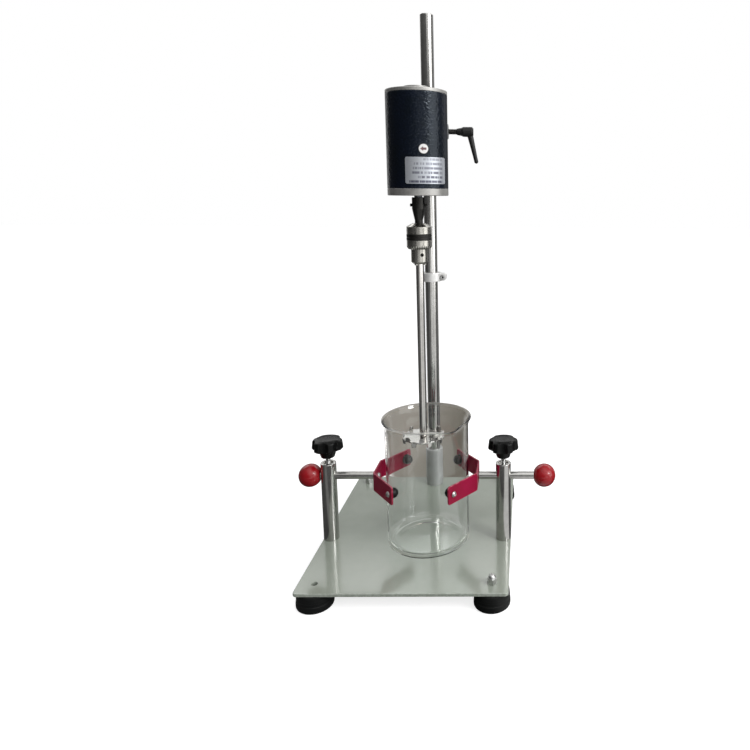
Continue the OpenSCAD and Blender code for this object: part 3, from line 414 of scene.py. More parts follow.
# A group reads a Vector and its own inputs; each socket's kind follows from the length of its value
def newGroup(name, inputs, outputs):
    group = bpy.data.node_groups.new(name, "ShaderNodeTree")
    kinds = {1: "NodeSocketFloat", 3: "NodeSocketVector", 4: "NodeSocketColor"}
    for side, sockets in (("INPUT", dict(Vector=(0, 0, 0), **inputs)), ("OUTPUT", outputs)):
        for label, value in sockets.items():
            socket = group.interface.new_socket(name=label, in_out=side, socket_type=kinds[np.size(value)])
            socket.default_value = value
    return group, addNode(group, "NodeGroupInput").outputs, addNode(group, "NodeGroupOutput").inputs


def useGroup(group, **inputs):
    return addNode(treeOf(inputs["Vector"]), "ShaderNodeGroup", inputs, node_tree=group).outputs


# Cloudy change between two tones, large patches with finer ones on top
def makeMottle():
    black, white = (0, 0, 0, 1), (1, 1, 1, 1)
    inputs = dict(Scale=60.0, Dark=black, Light=white)
    group, given, out = newGroup("mottle", inputs, dict(Color=black, Value=0.0))
    large = noiseOf(given["Vector"], given["Scale"])
    small = noiseOf(given["Vector"], times(given["Scale"], 7.0))
    value = ranged(plus(times(large, 0.65), times(small, 0.35)), 0.36, 0.64)
    join(value, out["Value"])
    join(mixColour(value, given["Dark"], given["Light"]), out["Color"])
    return group


# Fine lines: noise pulled out along one direction of the surface
def makeStreaks():
    group, given, out = newGroup("streaks", dict(Stretch=(1, 1, 1)), dict(Value=0.0))
    inputs = {0: given["Vector"], 1: given["Stretch"]}
    pulled = addNode(group, "ShaderNodeVectorMath", inputs, operation="MULTIPLY").outputs[0]
    join(ranged(noiseOf(pulled, 1.0, 6.0, 0.7), 0.3, 0.7), out["Value"])
    return group


# Where rounded edges are rubbed, broken up by noise
def makeRub():
    group, given, out = newGroup("rubbedEdges", dict(Amount=0.5, Scale=300.0), dict(Mask=0.0))
    edge = addNode(group, "ShaderNodeAttribute", attribute_name="edge").outputs["Fac"]
    broken = ranged(noiseOf(given["Vector"], given["Scale"]), 0.42, 0.62)
    join(times(edge, broken, given["Amount"]), out["Mask"])
    return group


# Dust on faces that look up, in soft patches
def makeDust():
    group, given, out = newGroup("settledDust", dict(Amount=0.2), dict(Mask=0.0))
    normal = addNode(group, "ShaderNodeNewGeometry").outputs["Normal"]
    upward = ranged(axesOf(normal)[2], 0.35, 0.95)
    patches = ranged(noiseOf(given["Vector"], 45.0, 7.0, 0.65), 0.35, 0.75)
    join(times(upward, patches, given["Amount"]), out["Mask"])
    return group


# Small round bumps that run into each other, as on wrinkle paint, rubber and moulded plastic
def makePebble():
    group, given, out = newGroup("pebble", dict(Scale=900.0), dict(Height=0.0))
    inputs = {"Vector": given["Vector"], "Scale": given["Scale"], "Detail": 2.0}
    warp = addNode(group, "ShaderNodeTexNoise", inputs).outputs["Color"]
    inputs = {0: warp, 1: (0.0009, 0.0009, 0.0009), 2: given["Vector"]}
    moved = addNode(group, "ShaderNodeVectorMath", inputs, operation="MULTIPLY_ADD").outputs[0]
    inputs = {"Vector": moved, "Scale": given["Scale"], "Smoothness": 0.6}
    cells = addNode(group, "ShaderNodeTexVoronoi", inputs, feature="SMOOTH_F1").outputs["Distance"]
    fine = noiseOf(given["Vector"], times(given["Scale"], 2.6))
    join(minus(times(fine, 0.5), cells), out["Height"])
    return group


mottleGroup, streakGroup, rubGroup = makeMottle(), makeStreaks(), makeRub()
dustGroup, pebbleGroup = makeDust(), makePebble()
dustTone = tone(196, 192, 184)
crosswise = (20.0, 2600.0, 1.0)  # stretch of lines across a turned surface's UVs


def newMaterial(name, constants):
    material = bpy.data.materials.new(name)
    material.use_nodes = True
    shader = material.node_tree.nodes["Principled BSDF"]
    for key, value in constants.items():
        shader.inputs[key].default_value = value
    return material, material.node_tree, shader


def bumped(shader, height, depth):
    inputs = {"Height": height, "Strength": 1.0, "Distance": depth * mm}
    raised = addNode(treeOf(height), "ShaderNodeBump", inputs)
    join(raised.outputs[0], shader.inputs["Normal"])


# One finish: mottled tone, roughness that follows it, rubbed edges (amount, tone, scale), dust, and a bump of
# pebbles or of streaks (tint, tone, added roughness), which follow the UVs unless they have their own stretch
def finish(name, dark, light, rough, bump, metal=0.0, mottle=60.0, pebble=0.0, streak=None, stretch=None,
           rub=None, dust=0.0, specular=0.5, coat=(0.0, 0.03), tint=(1, 1, 1, 1)):
    material, tree, shader = newMaterial(name, {
        "Metallic": metal, "Specular IOR Level": specular, "Specular Tint": tint,
        "Coat Weight": coat[0], "Coat Roughness": coat[1]})
    spots = coordinates(tree)
    spot = spots["Object"]
    base = useGroup(mottleGroup, Vector=spot, Scale=mottle, Dark=tone(*dark), Light=tone(*light))
    colour, roughness = base["Color"], ranged(base["Value"], 0, 1, *rough)
    if streak:
        along = dict(Vector=spot, Stretch=stretch) if stretch else dict(Vector=spots["UV"], Stretch=crosswise)
        height = useGroup(streakGroup, **along)["Value"]
        colour = mixColour(times(height, streak[0]), colour, tone(*streak[1]))
        roughness = plus(roughness, times(height, streak[2]))
    else:
        height = useGroup(pebbleGroup, Vector=spot, Scale=pebble)["Height"]
    if rub:
        mask = useGroup(rubGroup, Vector=spot, Amount=rub[0], Scale=rub[2])["Mask"]
        colour = mixColour(mask, colour, tone(*rub[1]))
    if dust:
        mask = useGroup(dustGroup, Vector=spot, Amount=dust)["Mask"]
        colour = mixColour(mask, colour, dustTone)
        roughness = plus(roughness, times(mask, 0.4))
    join(colour, shader.inputs["Base Color"])
    join(roughness, shader.inputs["Roughness"])
    bumped(shader, height, bump)
    return material


looks = dict(
    platePaint=dict(dark=(145, 152, 141), light=(150, 157, 146), rough=(0.16, 0.24), mottle=9, pebble=260.0,
                    bump=0.006, rub=(0.25, (205, 209, 204), 300.0), dust=0.03, coat=(0.4, 0.08)),
    rubber=dict(dark=(4, 6, 6), light=(9, 11, 10), rough=(0.55, 0.7), mottle=70, pebble=1100.0, bump=0.03,
                rub=(0.3, (26, 29, 28), 300.0), dust=0.02, specular=0.22),
    bufferRubber=dict(dark=(7, 9, 9), light=(14, 17, 16), rough=(0.28, 0.42), mottle=120, pebble=1400.0,
                      bump=0.012, dust=0.01, specular=0.2),
    stainless=dict(dark=(176, 175, 172), light=(194, 193, 190), rough=(0.1, 0.15), metal=1.0, mottle=26,
                   streak=(0.2, (140, 139, 137), 0.05), bump=0.008),
    polished=dict(dark=(182, 179, 175), light=(200, 198, 195), rough=(0.07, 0.12), metal=1.0, mottle=30,
                  streak=(0.2, (128, 126, 122), 0.05), bump=0.003),
    zinc=dict(dark=(186, 186, 184), light=(208, 209, 208), rough=(0.2, 0.32), metal=1.0, mottle=180,
              streak=(0.2, (120, 120, 118), 0.06), bump=0.004),
    collarZinc=dict(dark=(222, 221, 219), light=(240, 240, 238), rough=(0.3, 0.42), metal=0.4, mottle=160,
                    streak=(0.2, (170, 170, 168), 0.06), bump=0.006, rub=(0.4, (244, 244, 243), 300.0)),
    chuckSteel=dict(dark=(158, 156, 150), light=(184, 182, 176), rough=(0.19, 0.25), metal=1.0, mottle=90,
                    streak=(0.35, (96, 95, 88), 0.08), bump=0.005),
    blackSteel=dict(dark=(26, 26, 25), light=(46, 45, 43), rough=(0.22, 0.36), metal=0.75, mottle=110,
                    streak=(0.3, (60, 59, 56), 0.1), bump=0.006, rub=(0.3, (92, 90, 86), 500.0)),
    redBall=dict(dark=(140, 8, 18), light=(156, 14, 26), rough=(0.24, 0.32), mottle=14, pebble=600.0,
                 bump=0.004, specular=0.3, coat=(0.3, 0.12)),
    crimsonPaint=dict(dark=(130, 0, 42), light=(146, 2, 54), rough=(0.36, 0.46), mottle=36, pebble=700.0,
                      bump=0.012, rub=(0.7, (220, 140, 154), 260.0), specular=0.22),
    knobPlastic=dict(dark=(6, 7, 7), light=(12, 13, 12), rough=(0.25, 0.34), mottle=90, pebble=1300.0,
                     bump=0.02, rub=(0.3, (34, 35, 34), 300.0), dust=0.01, specular=0.15),
    leverPlastic=dict(dark=(8, 8, 8), light=(15, 15, 15), rough=(0.4, 0.52), mottle=110, pebble=1500.0,
                      bump=0.02, rub=(0.3, (40, 40, 40), 300.0), dust=0.02, specular=0.35),
    socketGrey=dict(dark=(162, 163, 162), light=(178, 180, 180), rough=(0.34, 0.44), metal=0.45, mottle=60,
                    streak=(0.25, (108, 108, 108), 0.08), bump=0.005),
    capGrey=dict(dark=(148, 147, 144), light=(168, 167, 164), rough=(0.36, 0.46), metal=0.6, mottle=50,
                 pebble=1500.0, bump=0.015, rub=(0.3, (206, 205, 202), 300.0), dust=0.08),
    castGrey=dict(dark=(112, 114, 115), light=(122, 124, 125), rough=(0.36, 0.46), metal=0.3, mottle=18,
                  pebble=900.0, bump=0.035, rub=(0.4, (170, 170, 168), 300.0), dust=0.1),
    shellBlack=dict(dark=(8, 14, 19), light=(10, 17, 33), rough=(0.17, 0.23), mottle=16, pebble=340.0,
                    bump=0.3, rub=(0.5, (70, 72, 76), 300.0), dust=0.01, specular=0.3,
                    tint=(0.8, 0.9, 1.0, 1.0)),
    ferrite=dict(dark=(44, 44, 46), light=(60, 60, 62), rough=(0.5, 0.65), mottle=120, pebble=900.0,
                 bump=0.03),
    phenolic=dict(dark=(92, 54, 28), light=(120, 74, 40), rough=(0.45, 0.6), mottle=140, pebble=1200.0,
                  bump=0.02),
    carbon=dict(dark=(24, 24, 25), light=(44, 44, 46), rough=(0.5, 0.7), mottle=200, pebble=1600.0,
                bump=0.02),
    coreSteel=dict(dark=(98, 100, 104), light=(126, 128, 132), rough=(0.35, 0.5), metal=1.0, mottle=90,
                   streak=(0.5, (62, 63, 66), 0.1), stretch=(40.0, 40.0, 2200.0), bump=0.02),
    copper=dict(dark=(140, 72, 38), light=(186, 108, 62), rough=(0.25, 0.4), metal=1.0, mottle=120,
                streak=(0.5, (96, 46, 24), 0.1), stretch=(900.0, 900.0, 1400.0), bump=0.05),
    bronze=dict(dark=(150, 108, 56), light=(182, 138, 78), rough=(0.3, 0.42), metal=1.0, mottle=90,
                streak=(0.3, (116, 80, 40), 0.08), stretch=(30.0, 30.0, 1800.0), bump=0.01))
finishes = {name: finish(name, **look) for name, look in looks.items()}
print("finishes:", len(finishes))


# Clear glass that bends light little, with its gloss in the coat, faint smears and a ground rim
def makeGlass(rimFrom, rimFade=1.5):
    material, tree, shader = newMaterial("clearGlass", {
        "Transmission Weight": 1.0, "IOR": 1.09, "Metallic": 0.0,
        "Coat Weight": 0.7, "Coat IOR": 1.5, "Coat Roughness": 0.02})
    spot = coordinates(tree)["Object"]
    smear = useGroup(mottleGroup, Vector=spot, Scale=22.0,
                     Dark=(0.98, 0.99, 0.985, 1), Light=(0.995, 1.0, 0.995, 1))
    join(smear["Color"], shader.inputs["Base Color"])
    ground = ranged(axesOf(spot)[2], rimFrom * mm, (rimFrom + rimFade) * mm, 0.0, 0.5)
    smeared = ranged(smear["Value"], 0.4, 1, 0.0, 0.03)
    join(plus(smeared, ground), shader.inputs["Roughness"])
    # Shadows, dull surfaces and mirrors outside the glass see straight through it
    rays = addNode(tree, "ShaderNodeLightPath").outputs
    outside = minus(1.0, mathNode("MODULO", rays["Transmission Depth"], 2.0))
    passing = mathNode("MAXIMUM", rays["Is Shadow Ray"], rays["Is Diffuse Ray"])
    passing = mathNode("MAXIMUM", passing, times(rays["Is Reflection Ray"], outside))
    clear = addNode(tree, "ShaderNodeBsdfTransparent", {"Color": (0.96, 0.97, 0.965, 1)})
    both = addNode(tree, "ShaderNodeMixShader", {0: passing, 1: shader.outputs[0], 2: clear.outputs[0]})
    join(both.outputs[0], tree.nodes["Material Output"].inputs["Surface"])
    return material


# Brushed label with plain rows of grey dashes; UV is the place on the label in metres from its middle
def makeLabel(rows, width, height):
    material, tree, shader = newMaterial("labelSilver", {"Metallic": 0.55})
    spot = coordinates(tree)["UV"]
    axes = axesOf(spot)
    across = mathNode("DIVIDE", axes[0], width / 2 * mm)
    up = mathNode("DIVIDE", axes[1], height / 2 * mm)
    line = times(plus(up, 1.0), rows / 2)
    row, within = mathNode("FLOOR", line), mathNode("FRACT", line)
    band = ranged(apart(within, 0.5), 0.24, 0.3, 1.0, 0.0)
    place = addNode(tree, "ShaderNodeCombineXYZ", {0: times(axes[0], 520.0), 1: times(row, 7.3)})
    dashes = ranged(noiseOf(place.outputs[0], 1.0, 2.0), 0.4, 0.46)
    ends = addNode(tree, "ShaderNodeCombineXYZ", {0: times(row, 3.7)})
    left = ranged(noiseOf(ends.outputs[0], 1.0, 0.0), 0.3, 0.7, -1.45, -0.2)
    between = times(above(across, left), below(across, 0.8))
    mask = times(band, dashes, between, below(mathNode("ABSOLUTE", up), 0.94))
    brush = useGroup(streakGroup, Vector=spot, Stretch=(90.0, 5200.0, 1.0))["Value"]
    silver = mixColour(brush, tone(171, 175, 183), tone(199, 203, 208))
    faded = times(mask, ranged(up, -0.9, 0.9, 0.95, 0.45))
    join(mixColour(faded, silver, tone(74, 74, 90)), shader.inputs["Base Color"])
    roughness = plus(ranged(brush, 0, 1, 0.26, 0.36), times(mask, 0.2))
    join(roughness, shader.inputs["Roughness"])
    bumped(shader, minus(times(brush, 0.15), mask), 0.02)
    return material


# White disc in a black ring with a plain red arrow to the left, drawn on UVs in metres from its middle
def makeMark(ring, tip, slope, neck, half, end):
    material, tree, shader = newMaterial("markWhite", {})
    spot = coordinates(tree)["UV"]
    axes = axesOf(spot)
    x = mathNode("DIVIDE", axes[0], mm)
    y = mathNode("ABSOLUTE", mathNode("DIVIDE", axes[1], mm))
    length = addNode(tree, "ShaderNodeVectorMath", {0: spot}, operation="LENGTH").outputs["Value"]
    away = mathNode("DIVIDE", length, mm)
    head = times(below(y, times(minus(x, tip), slope)), below(x, neck))
    tail = times(below(y, half), above(x, neck - 0.1), below(x, end))
    arrow = mathNode("MAXIMUM", head, tail)
    worn = useGroup(mottleGroup, Vector=spot, Scale=900.0,
                    Dark=tone(224, 222, 220), Light=tone(242, 241, 240))
    colour = mixColour(times(arrow, 0.92), worn["Color"], tone(84, 18, 30))
    colour = mixColour(ranged(away, ring - 0.1, ring + 0.1), colour, tone(14, 15, 17))
    join(colour, shader.inputs["Base Color"])
    join(ranged(worn["Value"], 0, 1, 0.3, 0.42), shader.inputs["Roughness"])
    return material


# Base plate: rings run from the bare hole's wall over the top, round the rim and back below

plate = dict(left=-140.0, right=110.0, half=152.0, low=22.0, top=26.0, corner=5.0, rim=0.7, rimFlat=1.5,
             hole=(-120.0, -132.0), holeRadius=3.7, holeRim=0.35, holeFlat=0.5)


# Hole rings run along lines from the hole to the outline, rim rings along the outline's own normals
def makePlate(left, right, half, low, top, corner, rim, rimFlat, hole, holeRadius, holeRim, holeFlat):
    outline, _ = finer(*closedUp(*roundedBox(left, right, -half, half, corner, 14)), 2.0)
    ahead = np.gradient(outline, axis=0)
    ahead[[0, -1]] = ahead[0] + ahead[-1]
    outward = unit(sideBySide(ahead[:, 1], -ahead[:, 0]))
    bend = np.linspace(0, quarterTurn, 5)
    holeOut = np.r_[0, holeRim * (1 - np.cos(bend)), holeRim + holeFlat]
    holeZ = np.r_[low, top - holeRim * (1 - np.sin(bend)), top]
    rimIn = np.r_[rimFlat, rim * (1 - np.sin(bend)), rim * (1 - np.cos(bend)), rimFlat]
    rimZ = np.r_[top, top - rim * (1 - np.cos(bend)), low + rim * (1 - np.sin(bend)), low]
    holeRings = np.array(hole) + (holeRadius + holeOut)[:, None, None] * unit(outline - np.array(hole))
    rimRings = outline - rimIn[:, None, None] * outward
    points = stacked(np.concatenate([holeRings, rimRings, holeRings[:1]]), np.r_[holeZ, rimZ, low])
    edge = np.r_[0, np.ones(len(bend)), 0, 0, np.ones(2 * len(bend)), 0, 0][:, None]
    return shellOf(points, points[..., :2].copy(), edge)


makePiece("basePlate", [makePlate(**plate)], "platePaint", "base", ["base_plate"], "plate_paint")


# Feet with their studs (x, y, stud's top), and the cap nuts on three of them

foot = dict(places=dict(front_left=(-120, -132, 20.5), front_right=(90, -132, 33.2),
                        rear_left=(-120, 132, 33.2), rear_right=(90, 132, 33.2)),
            studRadius=3.0, studLow=6.02,
            profile=[(0, 0.8), (13, 0.8, 0.4), (14, 0, 0.3), (22, 0, 4.2), (22, 6.4, 0.6), (21.75, 8.6, 0.3),
                     (21.35, 9.0, 0.3), (21.2, 12.6, 0.3), (21.45, 13.0, 0.3), (20.5, 21.7, 2.6), (3.1, 21.7),
                     (3.1, 6), (0, 6)])
for name, (x, y, studTop) in foot["places"].items():
    body = "foot_" + name
    pad = placed(turned(foot["profile"], 72, step=2.0), (x, y, 0))
    stud = placed(threadedRod(foot["studRadius"], foot["studLow"], studTop), (x, y, 0))
    makePiece("rubberFoot." + name, [pad], "rubber", body, [body], "black_rubber")
    makePiece("footStud." + name, [stud], "zinc", body, (), "zinc_steel")

nut = dict(acrossFlats=10.0, hexTop=7.5, dome=4.5,
           profile=[(0, 7.6), (3.1, 7.6), (3.1, 0), (5.2, 0, 0.2), (5.9, 0.5, 0.2), (5.9, 6.8, 0.2),
                    (4.9, 7.5, 0.1)])


# A hexagon with a quarter circle turned above it
def capNut(acrossFlats, hexTop, dome, profile):
    corners = profile + domeLine(dome, hexTop, 12) + [(0, hexTop + dome)]
    return turned(corners, 96, step=0.5, shape=hexed(acrossFlats))


nutPlaces = [(x, y, plate["top"]) for name, (x, y, _) in foot["places"].items() if name != "front_left"]
nuts = [placed(capNut(**nut), at, spin=0.3 + i) for i, at in enumerate(nutPlaces)]
makePiece("capNuts", nuts, "zinc", "base", ["cap_nuts"], "zinc_steel", sharp=28)
print("base plate, feet and nuts made")


# Posts with a cup in the top, clamp rods, ball knobs, lock screws and star knobs

clampY, rodZ = -31.5, 115.0
post = dict(left=-130.0, right=100.0, rodHole=5.25,
            profile=[(0, 26), (10, 26, 0.5), (10, 133, 0.9), (6.5, 133, 0.35), (6.5, 129, 0.5),
                     (3.25, 129, 0.2), (3.25, 121), (0, 121)])
rod = dict(radius=5.0, inner=67.11, outer=140.6, rim=0.6)
ball = dict(radius=15.0, flat=13.52, seat=[(5.9, 13.5), (5.6, 13.02), (0, 13.02)])
ballAt = 154.12
lockScrew = dict(radius=3.0, low=120.3, high=155.3)
knob = dict(low=141.0, scallop=8.0, scallopAt=23.6, lobes=6, lobesFrom=12.0, soften=1.6,
            profile=[(0, 1.2), (3.4, 1.2), (3.8, 0, 0.4), (8.5, 0, 0.9), (11.5, 9.4, 1.6), (18.4, 10.7, 0.9),
                     (20, 12.3, 1.4), (18.7, 23.2, 2.4), (12.5, 25.4, 8), (7.2, 26.0, 0.2), (6.9, 25.7, 0.2),
                     (6.5, 25.8, 0.2), (0, 25.95)])


# A sphere up to its flat, with a shallow seat in the flat
def ballKnob(radius, flat, seat):
    bend = np.linspace(0, np.pi - math.acos(flat / radius), 40)
    return turned([(radius * np.sin(b), -radius * np.cos(b)) for b in bend] + seat)


# Lobes: the radius is a soft smaller-of the turned form and the scallops' near sides
def starLobes(angle, r, z):
    step, soften = fullTurn / knob["lobes"], knob["soften"]
    off = (angle % step) - step / 2
    middle = knob["scallopAt"] * np.cos(off)
    depth = knob["scallop"] ** 2 - (knob["scallopAt"] * np.sin(off)) ** 2
    near = np.where(depth > 0, middle - np.sqrt(np.maximum(depth, 0)), middle + 2)
    share = np.clip(0.5 + 0.5 * (near - r) / soften, 0, 1)
    return near * (1 - share) + r * share - soften * share * (1 - share) * (r > knob["lobesFrom"]), z


for name, sign in (("left", -1), ("right", 1)):
    x, onRod, onKnob = post[name], "rod_" + name, "star_knob_" + name
    upright = placed(turned(post["profile"]), (x, clampY, 0))
    hole = placed(cylinder(post["rodHole"], -20, 20, 48), (x, clampY, rodZ), (1, 0, 0))
    bar = cylinder(rod["radius"], 0, rod["outer"] - rod["inner"], 64, (rod["rim"], rod["rim"]))
    bar = placed(bar, (sign * rod["inner"], clampY, rodZ), (sign, 0, 0))
    redBall = placed(ballKnob(**ball), (sign * ballAt, clampY, rodZ), (-sign, 0, 0))
    screw = placed(threadedRod(**lockScrew), (x, clampY, 0))
    star = placed(turned(knob["profile"], 144, step=0.9, shape=starLobes), (x, clampY, knob["low"]))
    makePiece("post." + name, [upright], "stainless", "base", ["post_" + name], "stainless", holes=[hole])
    makePiece("clampRod." + name, [bar], "stainless", onRod, [onRod], "stainless")
    makePiece("ballKnob." + name, [redBall], "redBall", onRod, ["ball_knob_" + name], "red_ball")
    makePiece("lockScrew." + name, [screw], "zinc", onKnob, ["lock_screw_" + name], "zinc_steel")
    makePiece("starKnob." + name, [star], "knobPlastic", onKnob, [onKnob], "black_plastic", sharp=50)
print("posts, rods and knobs made")


# Brackets: a sheet's rounded section carried along the folded line; screws and buffers on both arms

bracket = dict(web=66.11, webHalf=19.0, armLength=52.0, armAngle=52.0, thick=2.0, half=12.0, fold=3.2,
               corner=3.0, rim=0.45)
bracketScrew = dict(radius=3.7, height=2.5, socket=3.0, shaft=2.5)
buffer = dict(length=11.0, radius=6.5, foot=1.0, flange=1.7, step=0.3)
bufferAt = 43.0  # along the arm from its fold


# The arms' ends are rounded by lowering the section there along a quarter circle
def bracketSheet(web, webHalf, armLength, armAngle, thick, half, fold, corner, rim):
    a = math.radians(armAngle)
    x, y = -web + armLength * math.cos(a), webHalf + armLength * math.sin(a)
    folded = filleted([(x, -y), (-web, -webHalf, fold), (-web, webHalf, fold), (x, y)], 9)
    line, _ = finer(*folded, 2.0)
    at = lengthAlong(line)
    nearEnd = np.linspace(0, corner, 9)
    spots = np.unique(np.round(np.r_[at, nearEnd, at[-1] - nearEnd], 4))
    path = sideBySide(*pointsAt(spots, at, line).T, 0)
    gap = np.clip(corner - np.minimum(spots, at[-1] - spots), 0, None)
    lower = corner - np.sqrt(np.maximum(corner ** 2 - gap ** 2, 0))
    section, mark = roundedBox(-thick / 2, thick / 2, -half, half, rim, 4)
    return swept(path, section, mark, sideBySide(1.0, 1 - lower / half))


# A rubber pad with a flange at its foot and a round tip
def bufferPad(length, radius, foot, flange, step):
    corners = [(0, foot), (radius, foot, 0.5), (radius, foot + flange, 0.2),
               (radius - step, foot + flange + step, 0.2)]
    return turned(corners + domeLine(radius, foot + length - radius, 14), 64)


armX, armY = (f(math.radians(bracket["armAngle"])) for f in (math.cos, math.sin))
halfThick = bracket["thick"] / 2
for name, onSide in (("left", dict), ("right", mirrored)):  # the left side's shells stay as they are
    body = "rod_" + name
    sheet = placed(bracketSheet(**bracket), (0, clampY, rodZ))
    onWeb = (halfThick - bracket["web"], clampY, rodZ)
    heads = [placed(buttonScrew(length=8, **bracketScrew), onWeb, (1, 0, 0))]
    pads = []
    for s in (-1, 1):
        y = clampY + s * (bracket["webHalf"] + bufferAt * armY)
        at = np.array((bufferAt * armX - bracket["web"], y, rodZ))
        inward = np.array((armY, -s * armX, 0))
        heads.append(placed(buttonScrew(length=5, **bracketScrew), at - inward * halfThick, -inward, 0.4))
        pads.append(placed(bufferPad(**buffer), at, inward))
    sheet, heads, pads = ([onSide(shell) for shell in shells] for shells in ([sheet], heads, pads))
    makePiece("bracket." + name, sheet, "crimsonPaint", body, ["bracket_" + name], "crimson_paint", sharp=50)
    makePiece("bracketScrews." + name, heads, "zinc", body, ["bracket_screws_" + name], "zinc_steel")
    makePiece("buffers." + name, pads, "bufferRubber", body, ["bumpers_" + name], "black_rubber")
print("brackets made")


# Beaker: outside up to the rim and down the inside in one line, with the spout drawn out of it

beaker = dict(radius=54.0, wall=2.5, height=170.0, floor=3.5, edge=11.0, rimRadius=58.0, flareFrom=160.0,
              low=26.05, spoutAngle=-52.0, spoutReach=5.6, spoutWidth=0.235, spoutDrop=36.0, spoutDip=2.0,
              spoutFrom=45.0, growth=2.4, shoulder=1.2)
groundRim = 4.0  # height of the rim's dull band


# The spout is a bell curve round its angle that grows towards the rim, with a shallow dip on both sides
def makeBeaker(radius, wall, height, floor, edge, rimRadius, flareFrom, low,
               spoutAngle, spoutReach, spoutWidth, spoutDrop, spoutDip, spoutFrom, growth, shoulder):
    inner = radius - wall
    foot = [(0, 1.2), (36, 1.0, 3), (40, 0, 3), (radius, 0, edge), (radius, flareFrom, 14)]
    lip = [(-1.52, -3.2, 4), (0, -1.6, 1.2), (-0.9, 0, 1.0), (-2.6, -0.8, 1.2)]
    lip = [(rimRadius + out, height + up, rounding) for out, up, rounding in lip]
    inside = [(inner + 0.5, flareFrom + 2, 14), (inner, 120), (inner, floor, edge - wall),
              (30, floor + 0.4, 6), (0, floor + 1.0)]

    def spout(angle, r, z):
        off = (angle - math.radians(spoutAngle) + np.pi) % fullTurn - np.pi
        lift = np.clip((z - (height - spoutDrop)) / spoutDrop, 0, 1) * (r > spoutFrom)
        pull = np.exp(-(off / spoutWidth) ** 2) * lift ** growth
        dips = np.exp(-((np.abs(off) - 2.1 * spoutWidth) / (0.8 * spoutWidth)) ** 2) * lift ** growth
        return r + spoutReach * pull - shoulder * dips, z - spoutDip * pull * lift ** 4

    wallLine = turned(foot + lip + inside, 256, step=2.6, shape=spout, steps=9)
    return placed(wallLine, (0, clampY, low))


finishes["clearGlass"] = makeGlass(beaker["low"] + beaker["height"] - groundRim)
makePiece("beakerGlass", [makeBeaker(**beaker)], "clearGlass", "vessel", ["beaker"], "clear_glass", sharp=80)
print("beaker made")


# Column, its socket and the split stop collar

columnX, columnY = -15.0, 134.0
column = dict(radius=9.5, low=26.0, high=736.0, sides=96, rims=(0.3, 1.1))
socketProfile = [(9.54, 26), (13.5, 26, 0.3), (13.5, 84, 1.0), (9.54, 84, 0.4)]
collar = dict(inner=9.55, outer=16.0, low=351.5, high=364.5, innerRim=0.3, outerRim=0.7)
ear = dict(slit=1.0, root=14.4, reach=23.0, half=6.5, height=11.0, corner=4.5, rim=0.5)
collarScrew = dict(radius=3.5, height=3.2, socket=3.0, shaft=2.0, length=10.5)
collarScrewAt = 18.0
# Painted shade: a dark disc at the floor of the collar screw's socket darkens the hole
socketShadeDisc = [(0, 1.3), (1.4, 1.3), (1.4, 2.0, 0.1), (0, 1.9)]
collarMiddle = (collar["low"] + collar["high"]) / 2


# A shell drawn on the z axis, moved to the column's axis
def onColumn(shell):
    return placed(shell, (columnX, columnY, 0))


# The slit's sides are parallel, so its half angle shrinks as the radius grows
def slitAngle(r):
    return np.arcsin(ear["slit"] / r)


# A rounded plate laid on its side beside the slit
def collarEar(side, slit, root, reach, half, height, corner, rim):
    low, high = sorted((side * slit, side * half))
    outline, _ = filleted([(root, -height / 2), (reach, -height / 2, corner), (reach, height / 2, corner),
                           (root, height / 2)], 8, True)
    shell = prism(outline, -high, -low, rim)
    x, y, z = np.moveaxis(shell["points"], -1, 0)
    return dict(shell, points=sideBySide(x, -z, y + collarMiddle))


splitRing = ringSector(ringCorners(**collar), slitAngle, lambda r: fullTurn - slitAngle(r))
collarShells = [onColumn(shell) for shell in (splitRing, collarEar(1, **ear), collarEar(-1, **ear))]
screwPlace = (columnX + collarScrewAt, columnY - ear["half"], collarMiddle)
screw = placed(capScrew(**collarScrew), screwPlace, (0, -1, 0))
screwShadeDisc = placed(turned(socketShadeDisc, 32), screwPlace, (0, -1, 0))
makePiece("columnTube", [onColumn(cylinder(**column))], "stainless", "base", ["column"], "stainless")
makePiece("columnSocket", [onColumn(turned(socketProfile, ring=True))], "socketGrey", "base",
          ["column_socket"], "socket_grey")
makePiece("stopCollar", collarShells, "collarZinc", "stop_collar", ["stop_collar"], "zinc_steel")
makePiece("collarScrew", [screw], "zinc", "stop_collar", ["stop_collar_screw"], "black_steel")
# Painted shade: the dark disc in the collar screw's socket
makePiece("collarSocketShade", [screwShadeDisc], "blackSteel", "stop_collar", (), "black_steel")
print("column and collar made")


# Head: everything here is turned with the head about the column

spindleX, spindleY = -4.5, -30.0
headTurn = math.atan2(spindleX - columnX, columnY - spindleY)
leverZ = 573.0


# A shell drawn on the z axis, turned with the head and moved to an axis, usually the spindle's
def onHead(shell, x=spindleX, y=spindleY):
    c, s = math.cos(headTurn), math.sin(headTurn)
    points = shell["points"] @ np.array([[c, s, 0], [-s, c, 0], [0, 0, 1]]) + np.array((x, y, 0))
    return dict(shell, points=points)


# The same, moved to the column's axis
def onClamp(shell):
    return onHead(shell, columnX, columnY)


# A piece whose shells and holes are drawn on the spindle's axis
def headPiece(name, shells, *rest, holes=(), **more):
    makePiece(name, [onHead(s) for s in shells], *rest, holes=[onHead(h) for h in holes], **more)


# The level vector of length 1 at an angle
def towards(angle):
    return np.array((math.cos(angle), math.sin(angle), 0))


